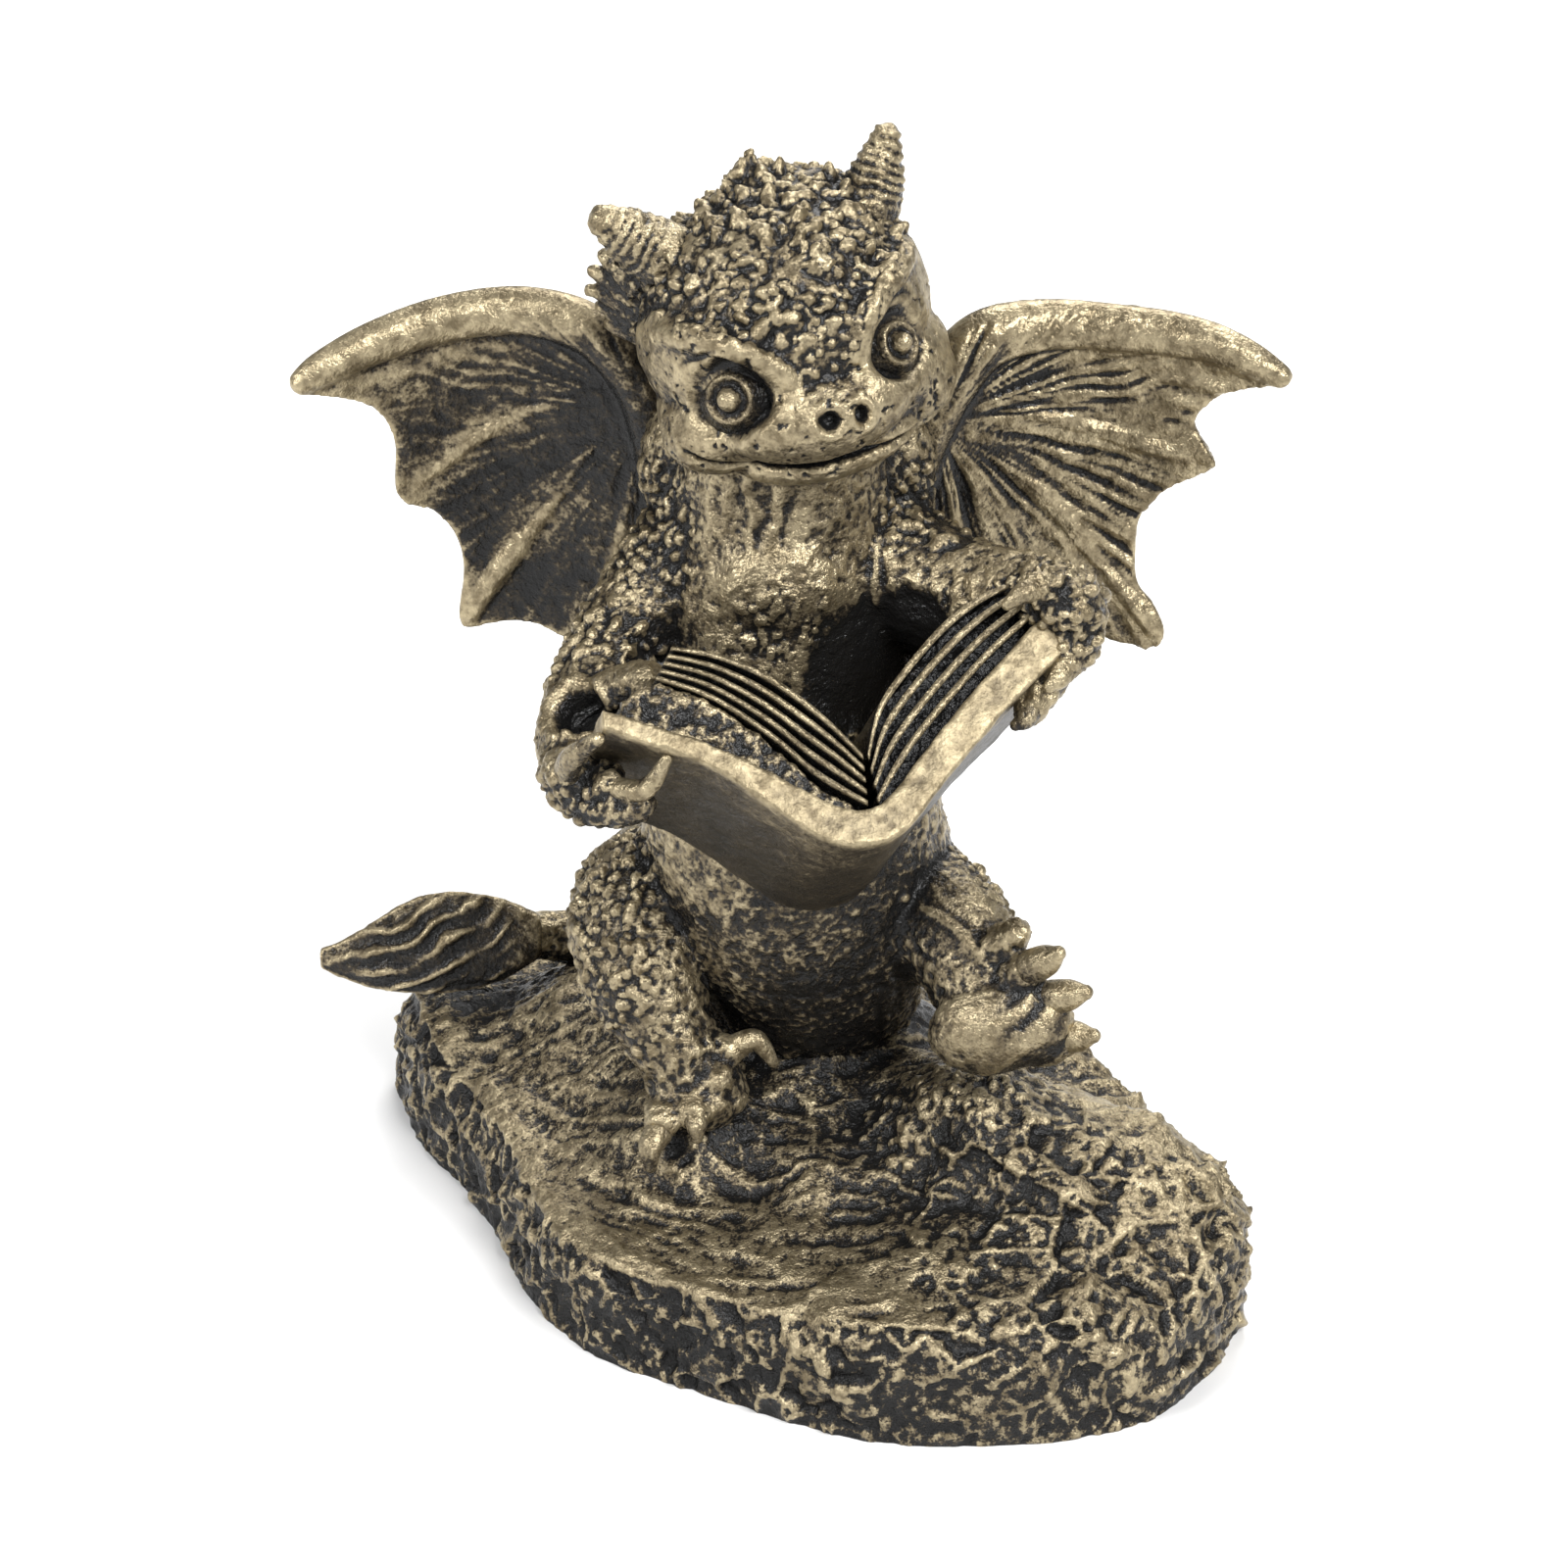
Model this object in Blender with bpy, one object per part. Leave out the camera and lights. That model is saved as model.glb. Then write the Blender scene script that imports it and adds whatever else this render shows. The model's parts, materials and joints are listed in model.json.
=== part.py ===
"""Baby dragon reading a book, seated on a boulder: one solid resin casting.

Lengths are in millimetres until the finished casting is scaled to metres.
+Z is up, -Y is the way the dragon's body faces, and the origin is on the table
under the middle of the boulder.
"""
import math

import bmesh
import bpy
from mathutils import Euler, Matrix, Vector

MM = 0.001

# Driving dimensions of the casting
HEAD_CENTRE = Vector((-1.0, 4.0, 107.0))
HEAD_YAW, HEAD_ROLL, HEAD_PITCH = 15, -13, 3        # degrees: turned, tilted, bowed
SKULL = (15.6, 14.5, 13.6)                          # half width, half depth, half height
BOOK_SPINE = Vector((8.6, -34.0, 67.5))             # outer end of the spine, on its underside
BOOK_YAW, BOOK_TILT = 12, 44                        # degrees: turned, raised at its outer end
BOOK_HEIGHT = 29.0                                  # along the spine
WING_THICKNESS = 2.4
ROCK_EDGE = 3.0                                     # how far the rim of the top draws in

# How finely the clay is fused, rounded over and cut into facets
CLAY_GRAIN = 0.85
SKIN_ROUNDING = 5
TRIM_ROUNDING = 2
FACETS = 9400


def spline(stations, steps):
    """Points of a Catmull-Rom curve through the stations, each a tuple of any length."""
    ends = [stations[0], *stations, stations[-1]]
    curve = []
    for a, b, c, d in zip(ends, ends[1:], ends[2:], ends[3:]):
        for k in range(steps):
            t = k / steps
            curve.append(tuple(
                0.5 * (2 * q + (r - p) * t + (2 * p - 5 * q + 4 * r - s) * t * t
                       + (3 * q - p - 3 * r + s) * t ** 3)
                for p, q, r, s in zip(a, b, c, d)))
    curve.append(tuple(stations[-1]))
    return curve


def loft(clay, rings):
    """A closed skin over rings of equal count, with a fan of faces over each end."""
    rows = [[clay.verts.new(p) for p in ring] for ring in rings]
    for low, high in zip(rows, rows[1:]):
        for i, corner in enumerate(low):
            j = (i + 1) % len(low)
            clay.faces.new((corner, low[j], high[j], high[i]))
    for row, order in ((rows[0], -1), (rows[-1], 1)):
        pole = clay.verts.new(sum((v.co for v in row), Vector()) / len(row))
        for i, corner in enumerate(row):
            clay.faces.new((corner, row[(i + 1) % len(row)], pole)[::order])


def sweep(clay, stations, sides=18, steps=6, width=1.0, upright=Vector((0, 0, 1))):
    """A limb with round ends through stations (x, y, z, radius).

    width widens the section across the limb, square to upright.
    """
    curve = spline(stations, steps)
    centres = [Vector(p[:3]) for p in curve]
    radii = [p[3] for p in curve]
    first = (centres[1] - centres[0]).normalized()
    last = (centres[-1] - centres[-2]).normalized()
    for angle in (30, 60, 85):
        lift, shrink = math.sin(math.radians(angle)), math.cos(math.radians(angle))
        centres.insert(0, Vector(curve[0][:3]) - first * curve[0][3] * lift)
        radii.insert(0, curve[0][3] * shrink)
        centres.append(Vector(curve[-1][:3]) + last * curve[-1][3] * lift)
        radii.append(curve[-1][3] * shrink)
    rings, across = [], None
    for k, (centre, radius) in enumerate(zip(centres, radii)):
        along = (centres[min(k + 1, len(centres) - 1)] - centres[max(k - 1, 0)]).normalized()
        if across is None:
            across = along.cross(upright)
            if across.length < 0.1:
                across = along.cross(Vector((1, 0, 0)))
        across = (across - along * across.dot(along)).normalized()
        over = across.cross(along)
        rings.append([
            centre + radius * (width * math.cos(a) * across + math.sin(a) * over)
            for a in (2 * math.pi * i / sides for i in range(sides))])
    loft(clay, rings)


def ball(clay, centre, radii, turn=(0, 0, 0), frame=Matrix(), segments=24):
    """An ellipsoid, turned by degrees about X, Y and Z, placed in frame."""
    place = (frame @ Matrix.Translation(centre)
             @ Euler([math.radians(a) for a in turn]).to_matrix().to_4x4()
             @ Matrix.Diagonal((*radii, 1)))
    bmesh.ops.create_uvsphere(clay, u_segments=segments, v_segments=segments // 2,
                              radius=1, matrix=place)


def moved(frame, stations):
    """Stations (x, y, z, radius) taken from a local frame to the casting's."""
    return [(*(frame @ Vector(s[:3])), s[3]) for s in stations]


def mirrored(stations):
    """Stations on the other side of the local X = 0 plane."""
    return [(-s[0], *s[1:]) for s in stations]


# ---- Boulder -----------------------------------------------------------------

# The outline on the table, seen from above, and spot heights of the top (x, y, height)
ROCK_OUTLINE = [(-46.5, 24), (-44, 14), (-38, 4), (-33, -7), (-29, -18), (-23, -27),
                (-13, -33.5), (-3, -38.5), (7, -43), (18, -44), (31, -42.5), (39, -38.5),
                (46, -29), (49.5, -19), (46, -7), (38, 5), (29, 18), (19, 29), (4, 36),
                (-14, 38), (-32, 36.5), (-43, 32)]
ROCK_HEIGHTS = [(0, 8, 26), (0, 24, 22), (0, 36, 13), (-20, 14, 21), (-42, 18, 15.5),
                (-46, 25, 15), (-34, 33, 13), (-38, 5, 13), (-30, -9, 12.5), (-25, -19, 12),
                (-15, -27, 12), (-3, -35, 12.5), (8, -37, 14.5), (-11, -8, 20.5), (-6, -21, 13.5),
                (4, -16, 18), (5, -26, 13.5), (14, -28, 16.5), (20, -39, 14), (29, -37, 15),
                (20, -15, 27.5), (29, -20, 24), (37, -16, 23), (44, -22, 20.5), (47, -30, 15),
                (39, -36, 13), (37, -1, 15), (29, 12, 17), (20, 26, 13), (47, -10, 12)]
HEIGHT_REACH = 4.0                  # smoothing between spot heights


def rock_height(x, y):
    """Height of the boulder's top, blended from the spot heights nearest by."""
    weights = [((x - a) ** 2 + (y - b) ** 2 + HEIGHT_REACH ** 2) ** -2
               for a, b, _ in ROCK_HEIGHTS]
    return sum(w * h for w, (_, _, h) in zip(weights, ROCK_HEIGHTS)) / sum(weights)


def add_rock(clay):
    """A lump whose flat foot lies a little under the table plane, to be cut off flat."""
    outline = [Vector(p) for p in spline([*ROCK_OUTLINE, ROCK_OUTLINE[0]], 4)[:-1]]
    middle = sum(outline, Vector((0, 0))) / len(outline)

    def ring(scale, height_of):
        points = [middle + (p - middle) * scale for p in outline]
        return [Vector((p.x, p.y, height_of(p.x, p.y))) for p in points]

    rings = [ring(1.0, lambda x, y: -1.5)]
    rings.append(ring(1.01, lambda x, y: 0.35 * rock_height(x, y)))
    rings.append(ring(1.0, lambda x, y: 0.7 * rock_height(x, y)))
    rim = 1 - ROCK_EDGE / 45
    rings.append(ring(rim, lambda x, y: rock_height(x, y) - 0.6))
    for share in (0.86, 0.74, 0.6, 0.46, 0.32, 0.16):
        rings.append(ring(share, rock_height))
    loft(clay, rings)


# ---- Trunk, limbs and tail ---------------------------------------------------

def add_trunk(clay):
    sweep(clay, [(2, 8, 29, 13.5), (1, 5, 40, 16.3), (-0.6, 4, 51, 16.2), (-1, 5, 64, 14.6),
                 (-1.5, 6, 76, 14.2), (-1.5, 7, 86, 12.6), (-1, 6.5, 97, 11)], sides=28)
    ball(clay, (-10.5, 9, 89), (6, 5.5, 8))                           # wing roots
    ball(clay, (9, 9, 89), (6, 5.5, 9))


def add_legs(clay):
    sweep(clay, [(-11, 9, 37, 9.5), (-16.5, 2, 38, 8.4), (-16.5, -4, 34, 7),
                 (-13.5, -8, 28, 5), (-11, -9, 24, 4.6)])
    sweep(clay, [(-11, -8.5, 23.5, 4.4), (-8.5, -12, 22.5, 4.4)], width=1.35)
    sweep(clay, [(8, 9, 36, 10), (12.6, 1, 39, 8.4), (17.2, -5, 40, 6.6), (20, -11, 36.5, 5.6)])
    ball(clay, (21.6, -15.5, 34.8), (7.6, 4.4, 4.7), turn=(-12, -24, 0))


CLAW_ROOTS_AND_TIPS = [
    # right foot, planted on the rock
    ((-7, -8, 24.5), (-4.6, -7, 26.4), (-2.2, -7.5, 24.2), 1.7),
    ((-6.5, -12, 23), (-4.8, -14, 23), (-3.6, -15.5, 20.8), 1.8),
    ((-10.5, -14, 22), (-10.5, -17, 21.5), (-10.8, -18.6, 19.2), 1.8),
    ((-13, -12, 21.5), (-14.6, -15, 20.8), (-15, -17.5, 17.8), 1.9),
    # left foot, sole turned out
    ((23.4, -15, 39), (26, -16.5, 42), (29, -18, 45.4), 1.7),
    ((26.5, -15.5, 37), (29.4, -17, 38.8), (32.4, -18, 40.2), 1.8),
    ((27.6, -15.5, 34.6), (30.4, -17, 34.2), (33.2, -18, 34.8), 1.8),
    # right hand, curled up under the book
    ((-21, -21, 68), (-22.4, -24.5, 71), (-21.6, -26, 75.5), 1.6),
    ((-18, -23, 67), (-18, -27, 69), (-17.4, -27.5, 73), 1.3),
    ((-15.5, -23, 68), (-13.4, -27, 70), (-12, -27.5, 74.5), 1.6),
    # left hand, clasped round the cover
    ((28, -14, 81), (28.4, -16, 79), (27.6, -17, 77.4), 2.1),
    ((25, -14, 78), (24.6, -17.5, 75.4), (23.6, -18.5, 74), 1.9),
    ((28, -15, 86), (27.6, -18.5, 88.4), (25.4, -20.5, 88), 1.8),
]


def add_arms(clay):
    sweep(clay, [(-11, 5, 80, 7), (-16.6, 1, 74.5, 5.6), (-22.2, -6.5, 69.4, 4.9),
                 (-21.8, -15, 68.4, 4.8), (-18.4, -21, 69, 4.4)])
    sweep(clay, [(8, 5, 80, 7.6), (17, -1, 78.2, 7), (24.5, -8, 81.5, 5.2), (28, -13.5, 84, 4.7)])


def add_claws(clay):
    for root, knuckle, tip, radius in CLAW_ROOTS_AND_TIPS:
        sweep(clay, [(*root, radius), (*knuckle, radius * 0.85), (*tip, radius * 0.5)],
              sides=12)


# Sections of the tail's leaf: x, height of its middle, half width
TAIL_LEAF = [(-56, 17.6, 0.7), (-51, 18.2, 3.2), (-46, 19.8, 5.0), (-41, 20.7, 5.9),
             (-36.5, 21, 5.6), (-32.5, 21.4, 4.4), (-29, 22, 2.2)]
TAIL_LEAF_LEAN = 25                 # degrees that its top lies back
TAIL_LEAF_THICKNESS = 3.4


def add_tail(clay):
    sweep(clay, [(3, 19, 29, 8), (-8, 26, 23, 6), (-18, 28, 18.5, 4.2), (-26, 26, 20, 3.3),
                 (-33, 25, 22.4, 2.4)])
    lean = math.radians(TAIL_LEAF_LEAN)
    across = Vector((0, math.sin(lean), math.cos(lean)))
    facing = Vector((0, -math.cos(lean), math.sin(lean)))
    rings = []
    for x, z, spread in spline(TAIL_LEAF, 4):
        bulge = 1 - ((x + 42) / 15) ** 2
        centre = Vector((x, 22, z)) + facing * 1.6 * bulge
        thick = TAIL_LEAF_THICKNESS / 2 * min(1, 0.3 + spread / 5)
        rings.append([centre + across * math.cos(a) * spread + facing * math.sin(a) * thick
                      for a in (2 * math.pi * i / 20 for i in range(20))])
    loft(clay, rings)


# ---- Head --------------------------------------------------------------------

EYE = (9.1, -10.2, 1.0)             # in the head's frame, on its left side
EYE_RADIUS = 3.8


def head_frame():
    turn = (Matrix.Rotation(math.radians(HEAD_YAW), 4, "Z")
            @ Matrix.Rotation(math.radians(HEAD_ROLL), 4, "Y")
            @ Matrix.Rotation(math.radians(HEAD_PITCH), 4, "X"))
    return Matrix.Translation(HEAD_CENTRE) @ turn


def add_head(clay):
    frame = head_frame()
    ball(clay, (0, 0, 2), SKULL, frame=frame)
    ball(clay, (0, -3.5, -4), (15.8, 11, 7.2), frame=frame)           # cheeks
    ball(clay, (0, -10, -3.6), (10.5, 8, 6), frame=frame)             # muzzle
    ball(clay, (0, -4, -8.5), (10.5, 9, 4.6), frame=frame)            # lower jaw


def add_face(clay):
    frame = head_frame()
    brow = [(3.8, -13.6, 4.4, 1.0), (7.6, -12.9, 7.2, 1.4), (12, -9.4, 7.4, 1.4),
            (14.8, -4.8, 4.4, 1.1)]
    horn = [(10.4, 3, 9, 4.0), (12.4, 4, 11.4, 3.3), (14, 4.6, 13.8, 2.4), (15.2, 5, 16, 1.5)]
    frill = [(12, 7, 6, 3.4), (15.6, 9.5, 8, 1.8), (14.6, 9, 2, 1.6)]
    for side in (list, mirrored):
        sweep(clay, moved(frame, side(brow)), sides=12)
        sweep(clay, moved(frame, side(horn)), sides=16)
        sweep(clay, moved(frame, side(frill)), sides=12)
        ball(clay, side([EYE + (0,)])[0][:3], [EYE_RADIUS] * 3, frame=frame)
    ball(clay, (2, 3, 9.4), (10.5, 9, 6.7), frame=frame)              # pebbly crown
    sweep(clay, moved(frame, [(1.2, 6, 14, 3.4), (1.4, 7, 16, 2.0), (1.5, 7.4, 17, 1.2)]))
    sweep(clay, moved(frame, [(1.2, -8, 11, 2.2), (1.4, -9.4, 13, 1.2)]), sides=12)


# ---- Wings -------------------------------------------------------------------

# In each wing's plane (outward, up) from its shoulder: the arm bone with its radii, then the
# web's edge from the tip of the bone down to the body, then the ribs from the elbow out
WING_HUB = (3.0, 2.0)
RIGHT_WING = dict(
    bone=[(-1, -8, 2.6), (0.3, -1, 2.6), (2.2, 5.2, 2.7), (6.8, 10.2, 2.7), (13.8, 11.8, 2.5),
          (22, 11, 2.5), (29.5, 9.3, 2.2), (35, 7.4, 1.9), (37.4, 6.2, 1.3)],
    edge=[(37.4, 5), (32.4, 3.3), (29.4, 1.2), (27.9, -2.6), (28.1, -7.9), (26.8, -10),
          (24.1, -11.2), (21.8, -14.5), (21.1, -18.7), (21.8, -24), (21, -25.8), (18, -25.2),
          (13.7, -25.2), (9.9, -26.8), (3, -27), (-3, -22)],
    ribs=[[(5, 3.6), (15.6, -0.4), (25.6, -7.2)], [(4.6, 1), (12.4, -12), (20, -22.4)],
          [(2.5, -4), (5, -17.7), (7.6, -24.4)]])
LEFT_WING = dict(
    bone=[(-2, -6, 2.6), (-0.5, 0, 2.8), (2, 6, 3.2), (5.6, 10.2, 3.2), (11.8, 11.3, 2.6),
          (19, 10.9, 2.4), (27, 10.6, 2.1), (33, 9.4, 1.7), (37, 7.8, 1.2)],
    edge=[(37.2, 6.9), (33, 5.8), (30.4, 4.2), (28.2, 1), (29.8, -2.2), (30.4, -4.2), (25.6, -7.4),
          (22.9, -11), (22.5, -15.5), (22.9, -19.3), (24.8, -21.8), (26, -25), (24.6, -26.8),
          (20.5, -26.4), (14, -24), (6, -22), (-3, -20)],
    ribs=[[(5.6, 3.8), (16.6, -0.2), (27.6, -3.4)], [(4, 1.6), (14, -10.4), (24.2, -23)],
          [(1, -1), (1.8, -9), (3.8, -15)]])
RIB_RADII = (1.6, 1.3)
WING_CUP = 5.0                      # how far the web is hollowed back between root and tip


def wing_frame(shoulder, side, sweep_back):
    """Local X runs outward, Z up and Y to the back of the wing."""
    turn = Matrix.Rotation(math.radians(sweep_back) * side, 4, "Z")
    return Matrix.Translation(shoulder) @ turn @ Matrix.Diagonal((side, 1, 1, 1))


def cupped(x, z):
    """A point of the wing, set back so that the wing's front is hollow."""
    return Vector((x, WING_CUP * math.sin(math.pi * min(max(x / 38, 0), 1)), z))


def add_wing(clay, frame, bone, edge, ribs):
    spine = [p[:2] for p in spline(bone[3:], 4)]
    rim = [Vector(p) for p in spine + spline(edge, 4)]
    across = Vector((0, WING_THICKNESS / 2, 0))
    rows = []
    for share in (0.02, 0.35, 0.7, 1.0):
        row = [cupped(*(Vector(WING_HUB).lerp(p, share))) for p in rim]
        rows.append([p - across for p in row] + [p + across for p in reversed(row)])
    web = bmesh.new()
    loft(web, rows)
    bmesh.ops.recalc_face_normals(web, faces=web.faces)
    web.transform(frame)
    if frame.determinant() < 0:
        bmesh.ops.reverse_faces(web, faces=web.faces)
    merge(clay, web)
    sweep(clay, moved(frame, [(*cupped(x, z), r) for x, z, r in bone]))
    for root, middle, tip in ribs:
        stations = [(*cupped(*root), RIB_RADII[0]), (*cupped(*middle), sum(RIB_RADII) / 2),
                    (*cupped(*tip), RIB_RADII[1])]
        sweep(clay, moved(frame, stations), sides=12)


def merge(clay, other):
    """Adds another bmesh's shapes to the clay."""
    loose = bpy.data.meshes.new("loose")
    other.to_mesh(loose)
    other.free()
    clay.from_mesh(loose)
    bpy.data.meshes.remove(loose)


# ---- Book --------------------------------------------------------------------

# The open book's end, seen along its spine: x across, z out of the spine
COVER_UNDER = [(-26.5, 17.3), (-19, 14.4), (-12, 10.2), (-8.6, 7.2), (-5.8, 3.3), (-2.6, 0.4),
               (1.5, 0.5), (5.2, 1.9), (9.5, 6.8), (13.7, 11.2), (21.5, 18.4), (25.4, 22.2)]
COVER_OVER = [(-26, 20.4), (-20.2, 19.2), (-13.7, 15.4), (-10.2, 12.6), (-6.6, 8.6), (-3.2, 5.3),
              (0, 4.3), (2.7, 5), (5.4, 8.8), (8.8, 13), (13.5, 17.2), (19.3, 21.3), (23.6, 24.2)]
RIGHT_PAGES = [(-20.2, 18), (-17.4, 23.2), (-13.4, 22.5), (-9.7, 20.4), (-6.8, 17.9), (-3.8, 15),
               (-1.4, 12.4), (-0.2, 9.5), (-0.6, 3.6), (-3.4, 4.4), (-6.8, 7.6), (-13.9, 14.4)]
LEFT_PAGES = [(0.6, 3.6), (0.4, 9.5), (2, 13), (4.6, 16.5), (8.1, 19.9), (12, 23), (16.3, 26),
              (20.8, 21.6), (14.2, 16.4), (9.2, 12.2), (5.8, 8), (3, 4.2)]
PAGES_INSET = 0.6                   # of the pages at the book's head and foot


def book_frame():
    turn = (Matrix.Rotation(math.radians(BOOK_YAW), 4, "Z")
            @ Matrix.Rotation(math.radians(-BOOK_TILT), 4, "X"))
    return Matrix.Translation(BOOK_SPINE) @ turn


def add_book(clay):
    frame = book_frame()
    cover = [*COVER_UNDER, *reversed(COVER_OVER)]
    extrude(clay, frame, cover, 0, BOOK_HEIGHT)
    for pages in (RIGHT_PAGES, LEFT_PAGES):
        extrude(clay, frame, pages, PAGES_INSET, BOOK_HEIGHT - PAGES_INSET)


def extrude(clay, frame, outline, near, far):
    """A prism: the outline (x, z) drawn out along the frame's Y from near to far."""
    block = bmesh.new()
    face = block.faces.new([block.verts.new((x, near, z)) for x, z in outline])
    drawn = bmesh.ops.extrude_face_region(block, geom=[face])["geom"]
    rim = [v for v in drawn if isinstance(v, bmesh.types.BMVert)]
    bmesh.ops.translate(block, verts=rim, vec=(0, far - near, 0))
    bmesh.ops.triangulate(block, faces=block.faces)
    bmesh.ops.recalc_face_normals(block, faces=block.faces)
    block.transform(frame)
    merge(clay, block)


# ---- Fusing and finishing ----------------------------------------------------

def fused(clay, name, *modifiers):
    """The clay's overlapping shapes as one mesh, after each modifier (type, settings)."""
    mesh = bpy.data.meshes.new(name)
    clay.to_mesh(mesh)
    clay.free()
    obj = bpy.data.objects.new(name, mesh)
    bpy.context.scene.collection.objects.link(obj)
    for kind, settings in modifiers:
        modifier = obj.modifiers.new(kind.title(), kind)
        for key, value in settings.items():
            setattr(modifier, key, value)
    graph = bpy.context.evaluated_depsgraph_get()
    made = bpy.data.meshes.new_from_object(obj.evaluated_get(graph))
    bpy.data.objects.remove(obj)
    result = bmesh.new()
    result.from_mesh(made)
    return result


def drop_small_islands(clay):
    """Keeps the largest connected body, so that no sealed pocket is left inside it."""
    unseen, islands = set(clay.verts), []
    while unseen:
        island, front = set(), [unseen.pop()]
        while front:
            vert = front.pop()
            island.add(vert)
            near = {e.other_vert(vert) for e in vert.link_edges} & unseen
            unseen -= near
            front += near
        islands.append(island)
    islands.sort(key=len)
    stray = [v for island in islands[:-1] for v in island]
    bmesh.ops.delete(clay, geom=stray, context="VERTS")


def cut_flat(clay):
    """Cuts the boulder's foot off along the table plane and closes the cut."""
    everything = [*clay.verts, *clay.edges, *clay.faces]
    cut = bmesh.ops.bisect_plane(clay, geom=everything, plane_co=(0, 0, 0),
                                 plane_no=(0, 0, 1), clear_inner=True)["geom_cut"]
    rim = [e for e in cut if isinstance(e, bmesh.types.BMEdge)]
    bmesh.ops.edgeloop_fill(clay, edges=rim)
    bmesh.ops.triangulate(clay, faces=clay.faces)


def centre(clay):
    """Brings the middle of the casting's box over the origin."""
    middles = [(min(v.co[i] for v in clay.verts) + max(v.co[i] for v in clay.verts)) / 2
               for i in (0, 1)]
    bmesh.ops.translate(clay, verts=clay.verts, vec=(-middles[0], -middles[1], 0))


def resin():
    """Dark resin with brushed gold paint, as one average colour."""
    material = bpy.data.materials.new("gold_brushed_resin")
    material.use_nodes = True
    shader = material.node_tree.nodes["Principled BSDF"]
    shader.inputs["Base Color"].default_value = (0.22, 0.18, 0.11, 1)
    shader.inputs["Metallic"].default_value = 0.5
    shader.inputs["Roughness"].default_value = 0.42
    return material


def main():
    for obj in list(bpy.data.objects):
        bpy.data.objects.remove(obj)
    clay = bmesh.new()
    for add in (add_trunk, add_legs, add_arms, add_tail, add_head, add_rock):
        add(clay)
    fuse = ("REMESH", dict(mode="VOXEL", voxel_size=CLAY_GRAIN))
    rounding = ("SMOOTH", dict(factor=0.5, iterations=SKIN_ROUNDING))
    clay = fused(clay, "flesh", fuse, rounding)
    for add in (add_face, add_claws):
        add(clay)
    add_wing(clay, wing_frame((-14.5, 12, 92), -1, -4), **RIGHT_WING)
    add_wing(clay, wing_frame((14.5, 12, 91), 1, -4), **LEFT_WING)
    trimming = ("SMOOTH", dict(factor=0.5, iterations=TRIM_ROUNDING))
    clay = fused(clay, "trim", fuse, trimming)
    add_book(clay)
    clay = fused(clay, "casting", fuse)
    share = FACETS / sum(len(f.verts) - 2 for f in clay.faces)
    clay = fused(clay, "casting", ("DECIMATE", dict(ratio=share)))
    drop_small_islands(clay)
    cut_flat(clay)
    centre(clay)
    clay.transform(Matrix.Scale(MM, 4))
    mesh = bpy.data.meshes.new("dragon_figurine")
    clay.to_mesh(mesh)
    clay.free()
    mesh.materials.append(resin())
    mesh.shade_smooth()
    mesh.set_sharp_from_angle(angle=math.radians(40))
    figurine = bpy.data.objects.new("dragon_figurine", mesh)
    bpy.context.scene.collection.objects.link(figurine)


main()
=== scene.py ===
"""The finish of a resin figurine: a baby dragon reading a book on a boulder.

The casting is black resin, dry-brushed with antique gold. Each section sculpts one part of
it in the sculptor's own millimetres, then sets it in the frame in metres.
"""
import itertools
import json
import math

import bmesh
import bpy
import numpy as np
from mathutils import Euler, Matrix, Vector
from mathutils.bvhtree import BVHTree
from mathutils.kdtree import KDTree

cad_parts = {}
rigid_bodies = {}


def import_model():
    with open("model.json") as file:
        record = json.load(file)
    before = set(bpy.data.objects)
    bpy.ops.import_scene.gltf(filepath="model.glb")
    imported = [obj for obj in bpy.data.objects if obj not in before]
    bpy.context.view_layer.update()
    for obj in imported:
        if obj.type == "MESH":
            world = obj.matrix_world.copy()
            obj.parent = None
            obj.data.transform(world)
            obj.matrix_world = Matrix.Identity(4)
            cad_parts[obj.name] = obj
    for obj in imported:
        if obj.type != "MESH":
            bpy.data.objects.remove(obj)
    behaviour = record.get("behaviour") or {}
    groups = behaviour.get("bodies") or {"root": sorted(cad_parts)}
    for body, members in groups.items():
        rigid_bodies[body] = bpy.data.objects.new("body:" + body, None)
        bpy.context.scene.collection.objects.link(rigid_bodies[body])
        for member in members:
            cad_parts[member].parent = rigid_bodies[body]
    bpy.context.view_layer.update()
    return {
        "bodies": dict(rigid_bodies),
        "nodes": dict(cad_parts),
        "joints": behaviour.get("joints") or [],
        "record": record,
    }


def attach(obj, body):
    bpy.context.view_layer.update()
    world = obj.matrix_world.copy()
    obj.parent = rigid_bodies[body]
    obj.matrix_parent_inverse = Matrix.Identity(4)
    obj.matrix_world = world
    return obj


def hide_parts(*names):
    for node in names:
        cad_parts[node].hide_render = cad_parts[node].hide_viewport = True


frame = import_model()


# ---- Boulder -----------------------------------------------------------------
# A lump of craggy stone under the dragon, the foot of the same casting. Its sides and its
# left-hand mass are cracked into sunken facets with raised veins; folds of once-soft stone
# run over the rest of the top. Its underside is ground flat.

MM = 0.001
MIDDLE = (-1.3243, -3.0083, 0)      # of the figurine's box, which stands over the origin

BOULDER_EDGE = [(-46.5, 24), (-44, 14), (-38, 4), (-33, -7), (-29, -18), (-23, -27),
                (-13, -33.5), (-3, -38.5), (7, -43), (18, -44), (31, -42.5), (39, -38.5),
                (46, -29), (49.5, -19), (46, -7), (38, 5), (29, 18), (19, 29), (4, 36),
                (-14, 38), (-32, 36.5), (-43, 32)]
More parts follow.
